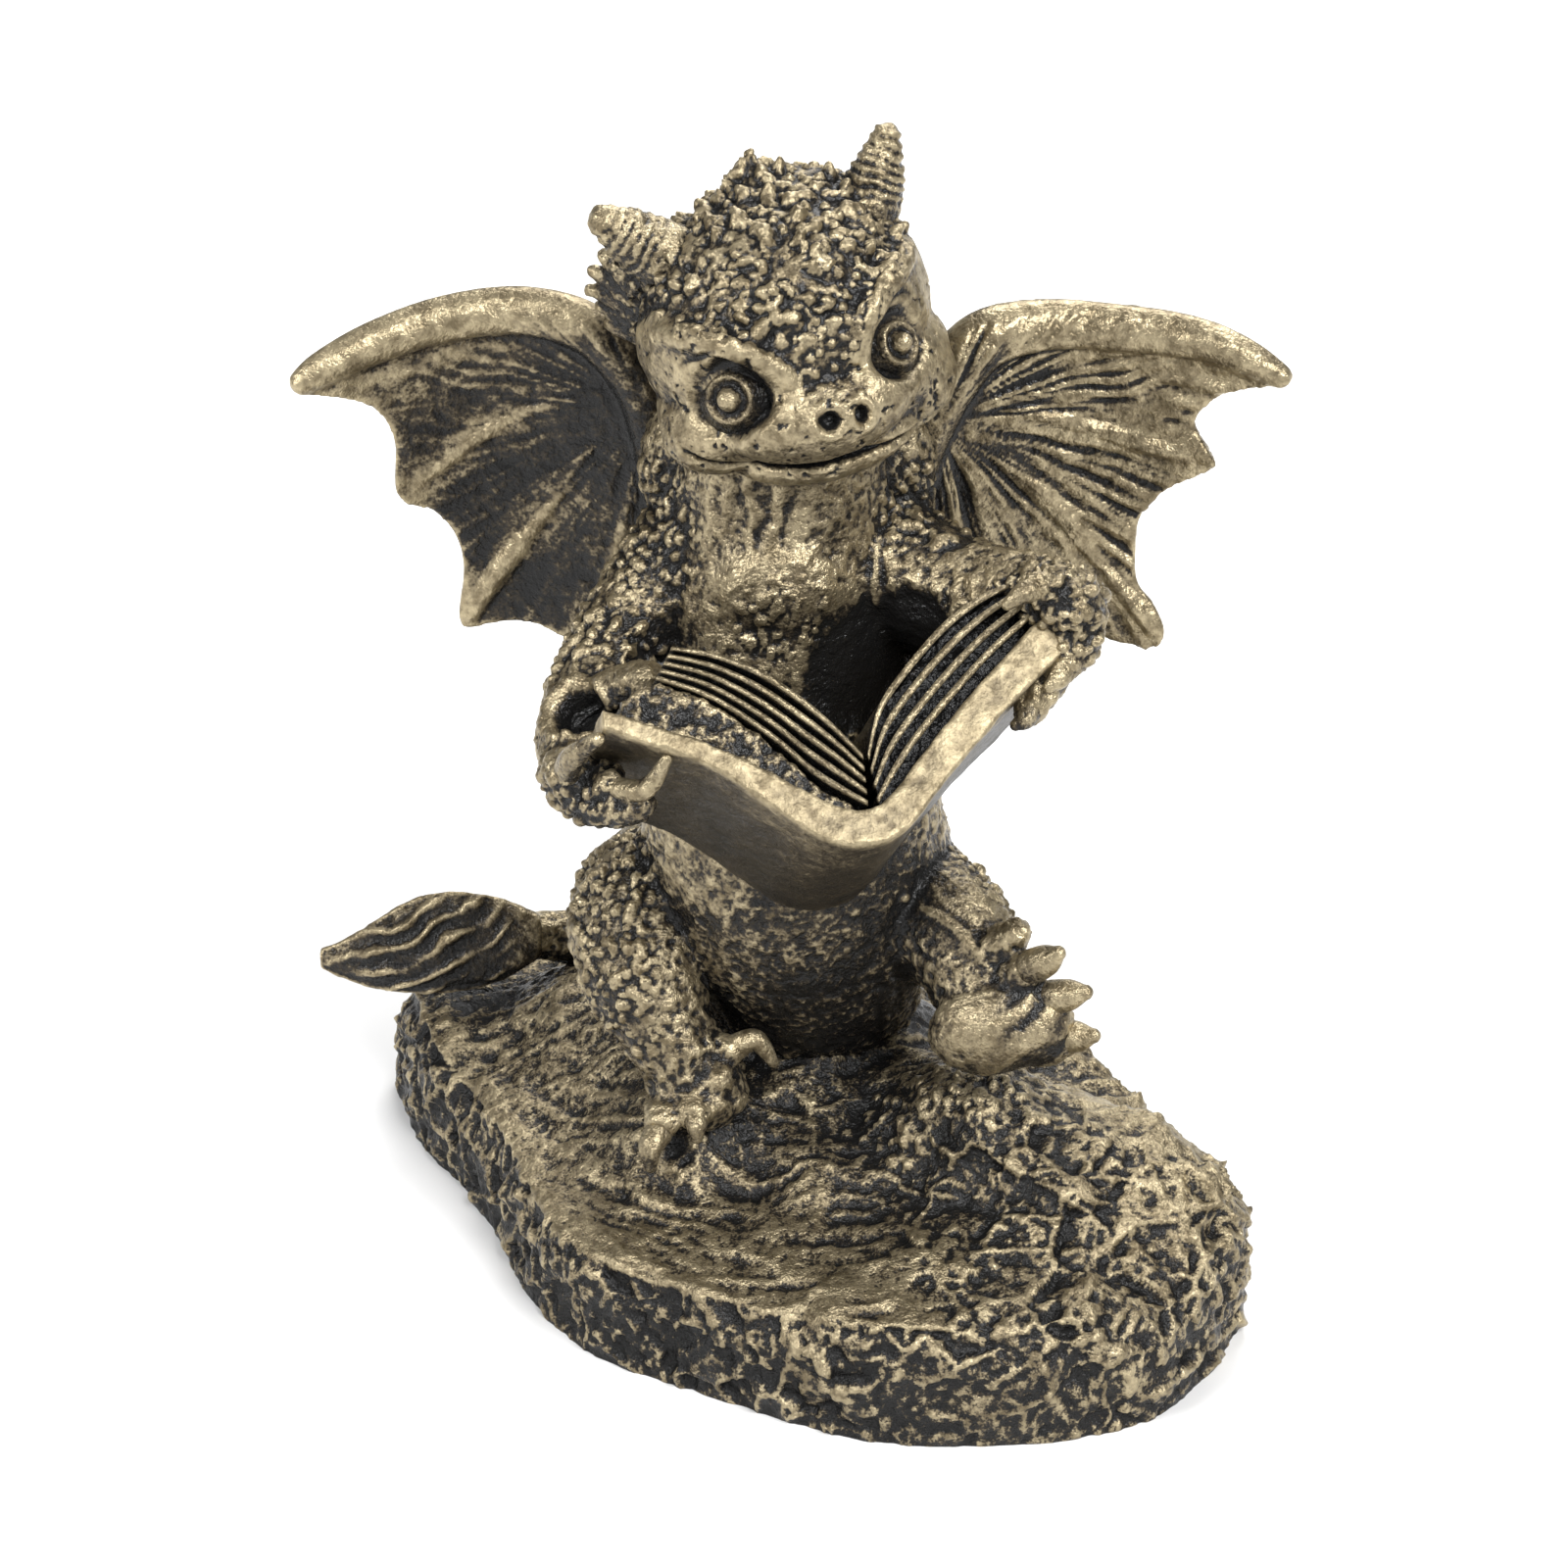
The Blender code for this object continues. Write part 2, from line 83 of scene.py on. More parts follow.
# Spot heights of its top: x, y, height
BOULDER_TOP = [(0, 8, 26), (0, 24, 22), (0, 36, 13), (-20, 14, 21), (-42, 18, 15.5),
               (-46, 25, 15), (-34, 33, 13), (-38, 5, 13), (-30, -9, 12.5), (-25, -19, 12),
               (-15, -27, 12), (-3, -35, 12.5), (8, -37, 14.5), (-11, -8, 20.5), (-6, -21, 13.5),
               (4, -16, 18), (5, -26, 13.5), (14, -28, 16.5), (20, -39, 14), (29, -37, 15),
               (20, -15, 27.5), (29, -20, 24), (37, -16, 23), (44, -22, 20.5), (47, -30, 15),
               (39, -36, 13), (37, -1, 15), (29, 12, 17), (20, 26, 13), (47, -10, 12)]
# Crests between its faces: the right shoulder and rim of the hollow, the rim of the left-hand
# mass, the edge down its front, the one over its top and the one down its left side
BOULDER_SEAMS = [
    [(-30.4, -10.8, 11), (-22.9, -22.2, 12.3), (-15.9, -27.8, 12.1), (-11.1, -32.1, 11.1),
     (-7, -35.4, 8.9), (-3.6, -38.2, 7.5), (5.1, -41.7, 4.5)],
    [(-4.3, -35.8, 10.8), (1.1, -36.1, 13.5), (5.1, -33.6, 14.2), (10.5, -32.8, 15.2),
     (15.9, -32.2, 15.2), (19.8, -35.7, 14.8), (25.1, -38.3, 15.1), (30, -34.8, 15.1)],
    [(30, -34.8, 15.1), (30.7, -39, 13.9), (32.4, -40.8, 11.3), (34.5, -40.7, 6.9),
     (37, -39.8, 4)],
    [(30, -34.8, 15.1), (32.2, -30.1, 15.8), (34.9, -27.7, 18.3), (37.2, -24.7, 19.4),
     (40.4, -27, 17.7)],
    [(40.4, -27, 17.7), (43.7, -29.4, 12), (44.9, -30.7, 6.5), (43.2, -33.3, 4.5)]]
# From its foot up: each ring's width, its share of the top's height, and its lift
BOULDER_RINGS = [(0.995, 0, -1.5), (1, 0.35, 0), (0.995, 0.7, 0), (0.94, 1, -0.5),
                 *((width, 1, 0) for width in (0.88, 0.8, 0.7, 0.58, 0.46, 0.32, 0.16))]
BOULDER_GRAIN = 0.39                # mesh size of the sculpted skin, here and further down
HIGHEST_RIDGE = 0.8                 # above this, relief is flattened to 0.3 of its height


def spline(stations, steps):
    """Points of a Catmull-Rom curve through the stations, each a tuple of any length."""
    ends = [stations[0], *stations, stations[-1]]
    curve = []
    for a, b, c, d in zip(ends, ends[1:], ends[2:], ends[3:]):
        for k in range(steps):
            t = k / steps
            curve.append(tuple(
                0.5 * (2 * q + (r - p) * t + (2 * p - 5 * q + 4 * r - s) * t * t
                       + (3 * q - p - 3 * r + s) * t ** 3)
                for p, q, r, s in zip(a, b, c, d)))
    curve.append(tuple(stations[-1]))
    return curve


def around(count):
    """That many angles, evenly round a circle."""
    return [2 * math.pi * i / count for i in range(count)]


def loft(clay, rings, ladder=False):
    """A closed skin over rings of equal count, with a fan of faces over each end, or rungs
    across it where a ring is a line there and back."""
    rows = [[clay.verts.new(p) for p in ring] for ring in rings]
    for low, high in zip(rows, rows[1:]):
        for i, corner in enumerate(low):
            j = (i + 1) % len(low)
            clay.faces.new((corner, low[j], high[j], high[i]))
    for row, order in ((rows[0], -1), (rows[-1], 1)):
        if ladder:
            for i in range(len(row) // 2 - 1):
                clay.faces.new((row[i], row[i + 1], row[-2 - i], row[-1 - i])[::order])
            continue
        pole = clay.verts.new(sum((v.co for v in row), Vector()) / len(row))
        for i, corner in enumerate(row):
            clay.faces.new((corner, row[(i + 1) % len(row)], pole)[::order])


def facing_out(clay):
    bmesh.ops.recalc_face_normals(clay, faces=clay.faces)
    return clay


def in_scene(name, data):
    thing = bpy.data.objects.new(name, data)
    bpy.context.scene.collection.objects.link(thing)
    return thing


def piece_from(clay, name):
    """The clay as a mesh object in the scene."""
    mesh = bpy.data.meshes.new(name)
    clay.to_mesh(mesh)
    clay.free()
    return in_scene(name, mesh)


def fused(clay, name, grain, rounding):
    """One even skin, of that mesh size, over the clay's overlapping shapes."""
    piece = piece_from(clay, name)
    fuse = piece.modifiers.new("fuse", "REMESH")
    fuse.mode = "VOXEL"
    fuse.voxel_size = grain
    fuse.use_smooth_shade = True
    smooth = piece.modifiers.new("round", "SMOOTH")
    smooth.iterations = rounding
    graph = bpy.context.evaluated_depsgraph_get()
    skin = bpy.data.meshes.new_from_object(piece.evaluated_get(graph))
    piece.modifiers.clear()
    piece.data = skin
    skin.name = name
    return piece


def skin_of(piece):
    """A piece's points, their normals and its edges, as arrays."""
    mesh = piece.data
    points = np.empty(len(mesh.vertices) * 3)
    mesh.vertices.foreach_get("co", points)
    normals = np.empty_like(points)
    mesh.vertices.foreach_get("normal", normals)
    edges = np.empty(len(mesh.edges) * 2, np.int64)
    mesh.edges.foreach_get("vertices", edges)
    return points.reshape(-1, 3), normals.reshape(-1, 3), edges.reshape(-1, 2)


def rise(values, low, high):
    """0 below low, 1 above high, and a smooth rise between."""
    t = np.clip((values - low) / (high - low), 0, 1)
    return t * t * (3 - 2 * t)


def hump(values, middle, width):
    """1 at the middle and fading on both sides of it, over about twice the width."""
    return np.exp(-((values - middle) / width) ** 2)


def hashed(cell, salt):
    """A repeatable number from 0 to 1 for each whole-numbered cell of space."""
    n = (cell * np.array([374761393, 668265263, 1103515245])).sum(axis=-1) + salt * 974634777
    n = (n ^ (n >> 13)) * 1274126177
    n = (n ^ (n >> 16)) * 668265263
    return ((n ^ (n >> 15)) & 0xFFFFFF) / 0xFFFFFF


def lumps(points, salt, octaves=1):
    """Smooth noise from -1 to 1, with features about one unit across."""
    total, weight = np.zeros(len(points)), 0
    for k in range(octaves):
        p = points * 2 ** k + 7.3 * k
        cell = np.floor(p).astype(np.int64)
        t = p - cell
        t = t * t * (3 - 2 * t)
        for corner in itertools.product((0, 1), repeat=3):
            share = np.where(corner, t, 1 - t).prod(axis=1)
            total += share * (2 * hashed(cell + corner, salt + k) - 1) / 2 ** k
        weight += 1 / 2 ** k
    return total / weight


def cells(points, salt=0):
    """For each point: its distances to the two nearest of a scatter of seeds, about one unit
    apart, the nearest one's own number from 0 to 1, and the height there of a tilted plane
    through that seed."""
    home = np.floor(points).astype(np.int64)
    first = np.full(len(points), 9.0)
    second, own, lean = first.copy(), first.copy(), first.copy()
    for shift in itertools.product((-1, 0, 1), repeat=3):
        there = home + shift
        seed = there + np.stack([hashed(there, salt + k) for k in (1, 2, 3)], axis=1)
        tilt = np.stack([hashed(there, salt + k) for k in (4, 5, 6)], axis=1) - 0.5
        gap = np.linalg.norm(seed - points, axis=1)
        closer = gap < first
        second = np.where(closer, first, np.minimum(second, gap))
        own = np.where(closer, hashed(there, salt), own)
        lean = np.where(closer, ((points - seed) * tilt).sum(axis=1), lean)
        first = np.where(closer, gap, first)
    return first, second, own, lean


def beads(points, size, share, salt):
    """Domes from 0 to 1 high dotted over that share of a scatter of seeds, size apart."""
    near, _, own, _ = cells(points / size, salt)
    reach = 0.36 + 0.2 * own / share
    return np.sqrt(np.clip(1 - (near / reach) ** 2, 0, 1)) * (own < share)


def crumpled(points, size, salt, octaves=3):
    """Crossing sharp-backed creases, 1 on their crests and about 0 between."""
    total, weight = 0, 0
    for k in range(octaves):
        crest = 1 - 3 * np.abs(lumps(points / size * 2 ** k + 3.1 * k, salt + 7 * k))
        total += np.clip(crest, -0.5, 1) / 2 ** k
        weight += 1 / 2 ** k
    return total / weight


def warped(points, size, amount, salt=0):
    """The points pushed about by soft noise, so that patterns over them lose their regularity."""
    push = [lumps(points / size, salt + k) for k in (11, 12, 13)]
    return points + amount * np.stack(push, axis=1)


def folds(across, along, salt):
    """Sharp-backed wandering ridges, 1 on their crests, that run along the second value."""
    sheet = np.stack([along, across, np.zeros(len(along))], axis=1)
    return 1 - 2 * np.abs(lumps(sheet, salt))


def averaged(values, edges, rounds):
    """Values after each point has gone half way to its neighbours' mean, rounds times over."""
    a, b = edges.T
    size = len(values)
    count = np.bincount(edges.ravel(), minlength=size)[:, None]
    for _ in range(rounds):
        total = [np.bincount(a, column[b], size) + np.bincount(b, column[a], size)
                 for column in values.T]
        values = (values + np.stack(total, axis=1) / count) / 2
    return values


FINE_ROUNDS, FINE_HEIGHT = 4, 0.055     # grain of the relief that a dry brush feels, in mm
WIDE_ROUNDS, WIDE_HEIGHT = 40, 0.30     # and of the forms under it
FACING_ROUNDS, FACING_UP = 12, 0.7      # and more gold on what faces up, partly as painted shade


def note_gilt(piece, gilt):
    note = piece.data.attributes.new("gilt", "FLOAT", "POINT")
    note.data.foreach_set("value", np.asarray(gilt, np.float32))


def gild(piece, bias, contrast=1.0):
    """Notes on each point how much gold it gets: a dry brush gives ridges more, hollows less;
    what faces up gets more and undersides less, partly the brush and partly painted shade."""
    points, normals, edges = skin_of(piece)
    near = averaged(points, edges, FINE_ROUNDS)
    wide = averaged(near, edges, WIDE_ROUNDS)
    fine = ((points - near) * normals).sum(axis=1) / FINE_HEIGHT
    form = ((near - wide) * normals).sum(axis=1) / WIDE_HEIGHT
    upward = averaged(normals, edges, FACING_ROUNDS)[:, 2]
    felt = np.clip(fine, -1.5, 1.5) + np.clip(form, -1, 1)
    note_gilt(piece, contrast * felt + FACING_UP * upward + bias)


def carved(piece, relief, rounds=0, place=None):
    """Cuts a piece's relief, softens it, sets it in its place and gilds it.

    relief gives the height at each point, then what gild is told of it.
    """
    points, normals, edges = skin_of(piece)
    height, *paint = relief(points, normals)
    points = averaged(points + normals * height[:, None], edges, rounds)
    piece.data.vertices.foreach_set("co", points.ravel())
    piece.data.update()
    if place is not None:
        piece.data.transform(place)
        if place.determinant() < 0:
            piece.data.flip_normals()
    gild(piece, *paint)


BLACK_RESIN = (0.008, 0.0078, 0.0076, 1)
BROWN_SMEAR = (0.07, 0.054, 0.034, 1)
DULL_GOLD, BRIGHT_GOLD = (0.19, 0.152, 0.092, 1), (0.47, 0.392, 0.25, 1)


def brushed_resin(name, gold=0.0, speck=0.5, speck_size=0.42, patch=0.5, patch_size=6.0,
                  softness=1.3, tooth=0.12, dullness=0.36):
    """Black resin with antique gold brushed over whatever stands proud.

    gold is how heavily it was brushed; speck and patch are how far small flecks and broad
    patches of paint come and go, with their sizes in millimetres; softness is how gradually
    paint thins out, tooth how rough the cast surface is and dullness how matt it all is.
    """
    material = bpy.data.materials.new(name)
    material.use_nodes = True
    tree = material.node_tree
    shader = tree.nodes["Principled BSDF"]

    def node(kind, sockets, **settings):
        """A shader node, its sockets each given a value or another node's output."""
        made = tree.nodes.new("ShaderNode" + kind)
        for key, value in settings.items():
            setattr(made, key, value)
        for key, value in sockets.items():
            if isinstance(value, bpy.types.NodeSocket):
                tree.links.new(value, made.inputs[key])
            else:
                made.inputs[key].default_value = value
        return made

    def plus(first, second, factor):
        """first + second x factor"""
        return node("Math", {0: second, 1: factor, 2: first}, operation="MULTIPLY_ADD").outputs[0]

    def spots(size, detail=2, roughness=0.6):
        """Noise about 0, with spots of that size in millimetres."""
        raw = node("TexNoise", {"Vector": place, "Scale": 1 / (size * MM), "Detail": detail,
                                "Roughness": roughness}).outputs[0]
        return plus(-0.5, raw, 1)

    def ramp(value, low, high, **settings):
        """0 where the value is low, rising to 1 where it is high."""
        return node("MapRange", {"Value": value, "From Min": low, "From Max": high},
                    **settings).outputs[0]

    def blend(factor, low, high):
        return node("Mix", {"Factor": factor, 6: low, 7: high}, data_type="RGBA").outputs[2]

    place = node("TexCoord", {}).outputs["Object"]
    gilt = node("Attribute", {}, attribute_name="gilt").outputs["Fac"]
    flecks = spots(speck_size)
    blots = spots(2.6 * speck_size)
    touch = plus(plus(gilt, flecks, 8 * speck), blots, 3 * speck)
    touch = plus(touch, spots(patch_size, roughness=0.5), 4 * patch)
    cover = ramp(touch, 0.1 - gold - softness, 0.1 - gold + softness,
                 interpolation_type="SMOOTHSTEP")
    worn = ramp(plus(spots(3.5, detail=3), blots, 1), -0.22, 0.22)
    smear = blend(ramp(cover, 0, 0.55), BLACK_RESIN, BROWN_SMEAR)
    colour = blend(ramp(cover, 0.3, 1), smear, blend(worn, DULL_GOLD, BRIGHT_GOLD))
    tree.links.new(colour, shader.inputs["Base Color"])
    tree.links.new(plus(0, cover, 0.85), shader.inputs["Metallic"])
    tree.links.new(plus(plus(dullness - 0.14, cover, 0.14), flecks, 0.3),
                   shader.inputs["Roughness"])
    shader.inputs["Specular IOR Level"].default_value = 0.25
    bumps = node("Bump", {"Height": plus(blots, flecks, 0.8), "Distance": tooth * MM * 2})
    tree.links.new(bumps.outputs[0], shader.inputs["Normal"])
    return material


def finished(piece, material):
    """Sets a sculpted piece in the frame, in its finish, in the place of the plain casting."""
    piece.data.transform(Matrix.Scale(MM, 4) @ Matrix.Translation(-Vector(MIDDLE)))
    piece.data.materials.clear()
    piece.data.materials.append(material)
    piece.data.shade_smooth()
    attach(piece, "root")
    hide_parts("dragon_figurine")


def top_height(x, y, reach=4.0):
    """Height of the boulder's top, blended from the spot heights nearest by."""
    weights = [((x - a) ** 2 + (y - b) ** 2 + reach ** 2) ** -2 for a, b, _ in BOULDER_TOP]
    return sum(w * h for w, (_, _, h) in zip(weights, BOULDER_TOP)) / sum(weights)


def boulder_lump():
    outline = [Vector(p) for p in spline([*BOULDER_EDGE, BOULDER_EDGE[0]], 4)[:-1]]
    middle = sum(outline, Vector((0, 0))) / len(outline)
    rings = []
    for width, share, lift in BOULDER_RINGS:
        spots = [middle + (p - middle) * width for p in outline]
        rings.append([Vector((*p, share * top_height(*p) + lift)) for p in spots])
    clay = bmesh.new()
    loft(clay, rings)
    return fused(clay, "rock_base", BOULDER_GRAIN, rounding=3)


def nearness(points, centre, reach):
    """1 at a place, falling to 0 at that reach from it."""
    return 1 - rise(np.linalg.norm(points - np.array(centre), axis=1), 0.6 * reach, reach)


def gap_to(spots, points):
    """How far each of the points is from the nearest spot."""
    tree = KDTree(len(spots))
    for i, spot in enumerate(spots):
        tree.insert(spot, i)
    tree.balance()
    return np.array([tree.find(p)[2] for p in points])


def along_lines(points, lines, width):
    """Nearness to any of the lines drawn through those places: 1 on one, fading over width."""
    spots = [p for line in lines for p in spline(line, 12)]
    return hump(gap_to(spots, points), 0, width)


def edge_nearness(points):
    """Nearness to the boulder's edge: 1 along it, 0 from 5 mm in."""
    outline = [(x, y, 0) for x, y in spline([*BOULDER_EDGE, BOULDER_EDGE[0]], 6)[:-1]]
    return 1 - np.clip(gap_to(outline, points * (1, 1, 0)) / 5, 0, 1)


def cragged(points, normals):
    """The boulder's cracks, facets and folds; how gold each part of it is, and how much a
    brush felt its relief."""
    x, y, z = points.T
    side = 1 - rise(normals[:, 2], 0.35, 0.75)
    mass = rise(x + 0.35 * y, -3, 5) * rise(-y - 0.25 * x, 1, 9)
    rim = side + rise(edge_nearness(points), 0.2, 0.9)
    crag = np.clip(np.maximum(side, mass) + 0.4 * rim, 0, 1)

    bent = warped(warped(points, 6, 2.2), 1.8, 0.6, 5)
    near, far, own, lean = cells(bent / (6.4, 6.4, 5.2))
    vein = hump(far - near, 0, 0.055) * rise(lumps(points / 3, 24, 2), -0.2, 0.2)
    _, _, chip_own, chip_lean = cells(warped(points, 1.5, 0.7, 8) / 2.3, 40)
    facets = (0.75 * vein + 2.4 * lean - 0.6 * own + 1.2 * chip_lean - 0.3 * chip_own
              + 0.2 * crumpled(bent, 3.6, 21) + 0.3 * crumpled(bent, 1.7, 22, 2)
              + 0.3 * lumps(points / 0.9, 25, 2))

    bowl = y - 0.016 * (x - 4) ** 2
    back = y - 0.28 * x
    behind = rise(y + 0.2 * x, -8, 2)
    wander = 2.2 * lumps(points / 6, 31, 2)
    front_folds = folds((bowl + wander) / 1.7, x / 7, 51)
    back_folds = folds((back + wander) / 1.5, x / 7, 52)
    stone = (0.5 * (behind * back_folds + (1 - behind) * front_folds)
             + 0.3 * crumpled(bent, 3.4, 61) + 0.3 * crumpled(bent, 1.6, 63, 2)
             + 0.5 * lumps(points / 4, 61, 2) + 0.25 * lumps(points / 0.9, 62, 2))
    spongy = np.clip(nearness(points, (19, -9, 26), 13) + nearness(points, (8, -14, 21), 9), 0, 1)
    sponge = (0.7 * beads(warped(points, 1.5, 0.8, 26), 1.6, 0.8, 27)
              + 0.5 * lumps(points / 1.1, 28, 2) - 0.4)
    facets = (1 - spongy) * facets + spongy * sponge
    worn = nearness(points, (39, -11, 20), 13)
    facets = facets * (1 - 0.6 * worn)
    wavering = warped(points, 2.5, 1.3, 29)
    broken = rise(lumps(points / 2.2, 30, 2), -0.35, 0.15)
    seam = broken * along_lines(wavering, BOULDER_SEAMS, 0.7)
    broad = along_lines(wavering, BOULDER_SEAMS, 1.8)
    height = crag * facets + (1 - crag) * 0.8 * stone
    height = height * (1 - 0.3 * broad) + 0.5 * seam + 0.3 * broad
    height = np.where(height > HIGHEST_RIDGE,
                      HIGHEST_RIDGE + 0.3 * (height - HIGHEST_RIDGE), height)
    height = height - 1.6 * nearness(points, (42, -5, 15), 7)
    keep = rise(z, -1, 1.5) * (1 - 0.8 * rise(y, 34, 38)) * (1 - 0.5 * rise(-y, 42.5, 44))
    bright = rise(own, 0.6, 0.7) + rise(x + y, 12, 24)
    # The last two terms are painted shade: the narrow gap between the belly and the left foot,
    # which the brush also missed, and the lap's shadow on the stone in front of the belly.
    gold = (0.4 * broad + 0.5 * seam + crag * (0.7 * bright + 0.5 * vein - 1) - 0.05 * (1 - crag)
            + 0.9 * spongy * crag + 0.8 * worn - 0.5 * side * rise(-x, -2, 6)
            - 1.6 * nearness(points, (14, 9, 20), 7) - 0.7 * nearness(points, (5, -13, 24), 9))
    return height * keep, gold, 0.7 + 0.3 * crag


def ground_flat(piece):
    """Cuts a piece's foot off along the table plane and closes the cut."""
    clay = bmesh.new()
    clay.from_mesh(piece.data)
    everything = [*clay.verts, *clay.edges, *clay.faces]
    cut = bmesh.ops.bisect_plane(clay, geom=everything, plane_co=(0, 0, 0),
                                 plane_no=(0, 0, 1), clear_inner=True)["geom_cut"]
    rim = [e for e in cut if isinstance(e, bmesh.types.BMEdge)]
    bmesh.ops.edgeloop_fill(clay, edges=rim)
    clay.to_mesh(piece.data)
    clay.free()


rock = boulder_lump()
carved(rock, cragged, rounds=1)
ground_flat(rock)
finished(rock, brushed_resin("gilded_stone", gold=-0.25, speck=0.6, speck_size=0.32))


# ---- Trunk, limbs and tail -----------------------------------------------------
# The dragon's body, modelled in clay and cast with the boulder: a round belly and chest, a
# right leg planted on the stone, a left one with its sole turned out, arms that come forward
# to the book, and the tail curled round to the right.

BODY_GRAIN = 0.37


def sweep(clay, stations, sides=18, steps=6, width=1.0, upright=Vector((0, 0, 1))):
    """A limb with round ends through stations (x, y, z, radius).

    width widens the section across the limb, square to upright.
    """
    curve = spline(stations, steps)
    centres = [Vector(p[:3]) for p in curve]
    radii = [p[3] for p in curve]
    first = (centres[1] - centres[0]).normalized()
    last = (centres[-1] - centres[-2]).normalized()
    for angle in (30, 60, 85):
        lift, shrink = math.sin(math.radians(angle)), math.cos(math.radians(angle))
        centres.insert(0, Vector(curve[0][:3]) - first * curve[0][3] * lift)
        radii.insert(0, curve[0][3] * shrink)
        centres.append(Vector(curve[-1][:3]) + last * curve[-1][3] * lift)
        radii.append(curve[-1][3] * shrink)
    rings, across = [], None
    for k, (centre, radius) in enumerate(zip(centres, radii)):
        along = (centres[min(k + 1, len(centres) - 1)] - centres[max(k - 1, 0)]).normalized()
        if across is None:
            across = along.cross(upright)
            if across.length < 0.1:
                across = along.cross(Vector((1, 0, 0)))
        across = (across - along * across.dot(along)).normalized()
        over = across.cross(along)
        rings.append([
            centre + radius * (width * math.cos(a) * across + math.sin(a) * over)
            for a in around(sides)])
    loft(clay, rings)


def ball(clay, centre, radii, turn=(0, 0, 0), frame=Matrix()):
    """An ellipsoid, turned by degrees about X, Y and Z, placed in frame."""
    place = (frame @ Matrix.Translation(centre)
             @ Euler([math.radians(a) for a in turn]).to_matrix().to_4x4()
             @ Matrix.Diagonal((*radii, 1)))
    bmesh.ops.create_uvsphere(clay, u_segments=24, v_segments=12, radius=1, matrix=place)


RIGHT_ARM = [(-11, 5, 80, 7), (-16.6, 1, 75.5, 5.5), (-20.4, -5, 72.4, 4.5),
             (-22.5, -12, 70.3, 4.1), (-22.9, -16, 68.7, 3.9), (-22.3, -20, 68.2, 3.5)]
LEFT_ARM = [(8, 5, 80, 7.6), (17, -1, 78.2, 7), (24.5, -8, 81.5, 5.2), (27.6, -12.5, 83.8, 4.4)]
FINGERS = [
    # right hand, curled up round the book's corner
    [(-23.6, -20, 68.6, 3), (-23.2, -23.6, 70, 2.3)],
    [(-22, -21.5, 68.2, 2.9), (-18.8, -25.6, 70, 2)],
    [(-23.6, -20, 67.4, 2.8), (-20.4, -25, 67.4, 2.4), (-15.8, -27.6, 68.8, 1.9)],
    [(-18.5, -13.5, 73.5, 3), (-15.2, -16.5, 76.8, 2.4)],
    # left hand, clasped over the cover's edge
    [(28.2, -12, 83, 3.4), (28.9, -14.4, 80.6, 2.6), (26.9, -16.4, 78.5, 2.0)],
    [(26.6, -12, 79.4, 2.8), (25.8, -15.6, 76.8, 2.2), (23.9, -18.2, 74.8, 1.9)],
    [(27.4, -12.6, 85, 2.8), (24.6, -15, 87, 2.0)],
    [(29, -11.8, 84, 2.6), (30, -13.2, 83.6, 1.9)],
    # right foot's toes, on the stone
    [(-10, -8, 25.4, 3), (-7.2, -9.4, 27.4, 1.9)],
    [(-10.5, -10, 24.4, 2.9), (-8.4, -12, 25.3, 2.0)],
    [(-11, -10.5, 23.6, 3), (-10.8, -14.6, 22.8, 2.1)],
    [(-12, -10, 23.4, 3), (-14.4, -14.6, 21.8, 2.1)],
    # left foot's toes, at the side of its sole
    [(23, -13.5, 38.6, 3), (24.4, -15, 41, 2)],
    [(24.6, -14.5, 36.2, 3), (27, -15.2, 37.8, 2)],
    [(25.4, -15, 33.6, 3), (28.6, -15.6, 33.4, 2)],
    [(21.5, -11.5, 41.5, 2.6), (23.6, -12.6, 44.4, 1.6)]]


def body_clay():
    clay = bmesh.new()
    sweep(clay, [(2, 8, 29, 13.5), (1, 5, 40, 16.3), (-0.6, 4, 51, 16.2), (-1, 5, 64, 14.6),
                 (-1.5, 6, 76, 14.2), (-1.5, 7, 86, 12.6), (-1, 6.5, 97, 11)], sides=28)
    ball(clay, (-1.5, -1.6, 80.5), (8.5, 6.8, 8))
    ball(clay, (-10.5, 9, 89), (6, 5.5, 8))
    ball(clay, (9, 9, 89), (6, 5.5, 9))
    sweep(clay, [(11.5, 12, 91, 3), (11.8, 13, 83, 3.2), (11, 13, 74, 3)])
    sweep(clay, [(-11, 9, 37, 9.5), (-16.5, 2, 38, 8.4), (-16.5, -4, 34, 7),
                 (-13.5, -8, 28, 5), (-11, -9, 24, 4.6)])
    sweep(clay, [(-11, -8.5, 23.5, 4.2), (-10, -11.5, 22.6, 3.8)], width=1.35)
    sweep(clay, [(8, 9, 36, 10), (12.6, 1, 39, 8.4), (17.2, -5, 40, 6.6), (20, -11, 36.5, 5.6)])
    ball(clay, (21.6, -15.3, 34.4), (7.6, 4.4, 5.4), turn=(-12, -14, 0))
    ball(clay, (25, -15.4, 34.6), (5, 3.8, 4.6), turn=(-12, -30, 0))
    ball(clay, (26.4, -15.2, 32.8), (4.2, 3.6, 3), turn=(0, -10, 0))
    for limb in (RIGHT_ARM, LEFT_ARM, *FINGERS):
        sweep(clay, limb)
    sweep(clay, [(3, 19, 29, 8), (-8, 26, 23, 6), (-18, 28, 18.5, 4.2), (-26, 25.6, 20, 3.2),
                 (-33, 23.4, 21.9, 2.2), (-38, 22.4, 22, 1)])
    return clay


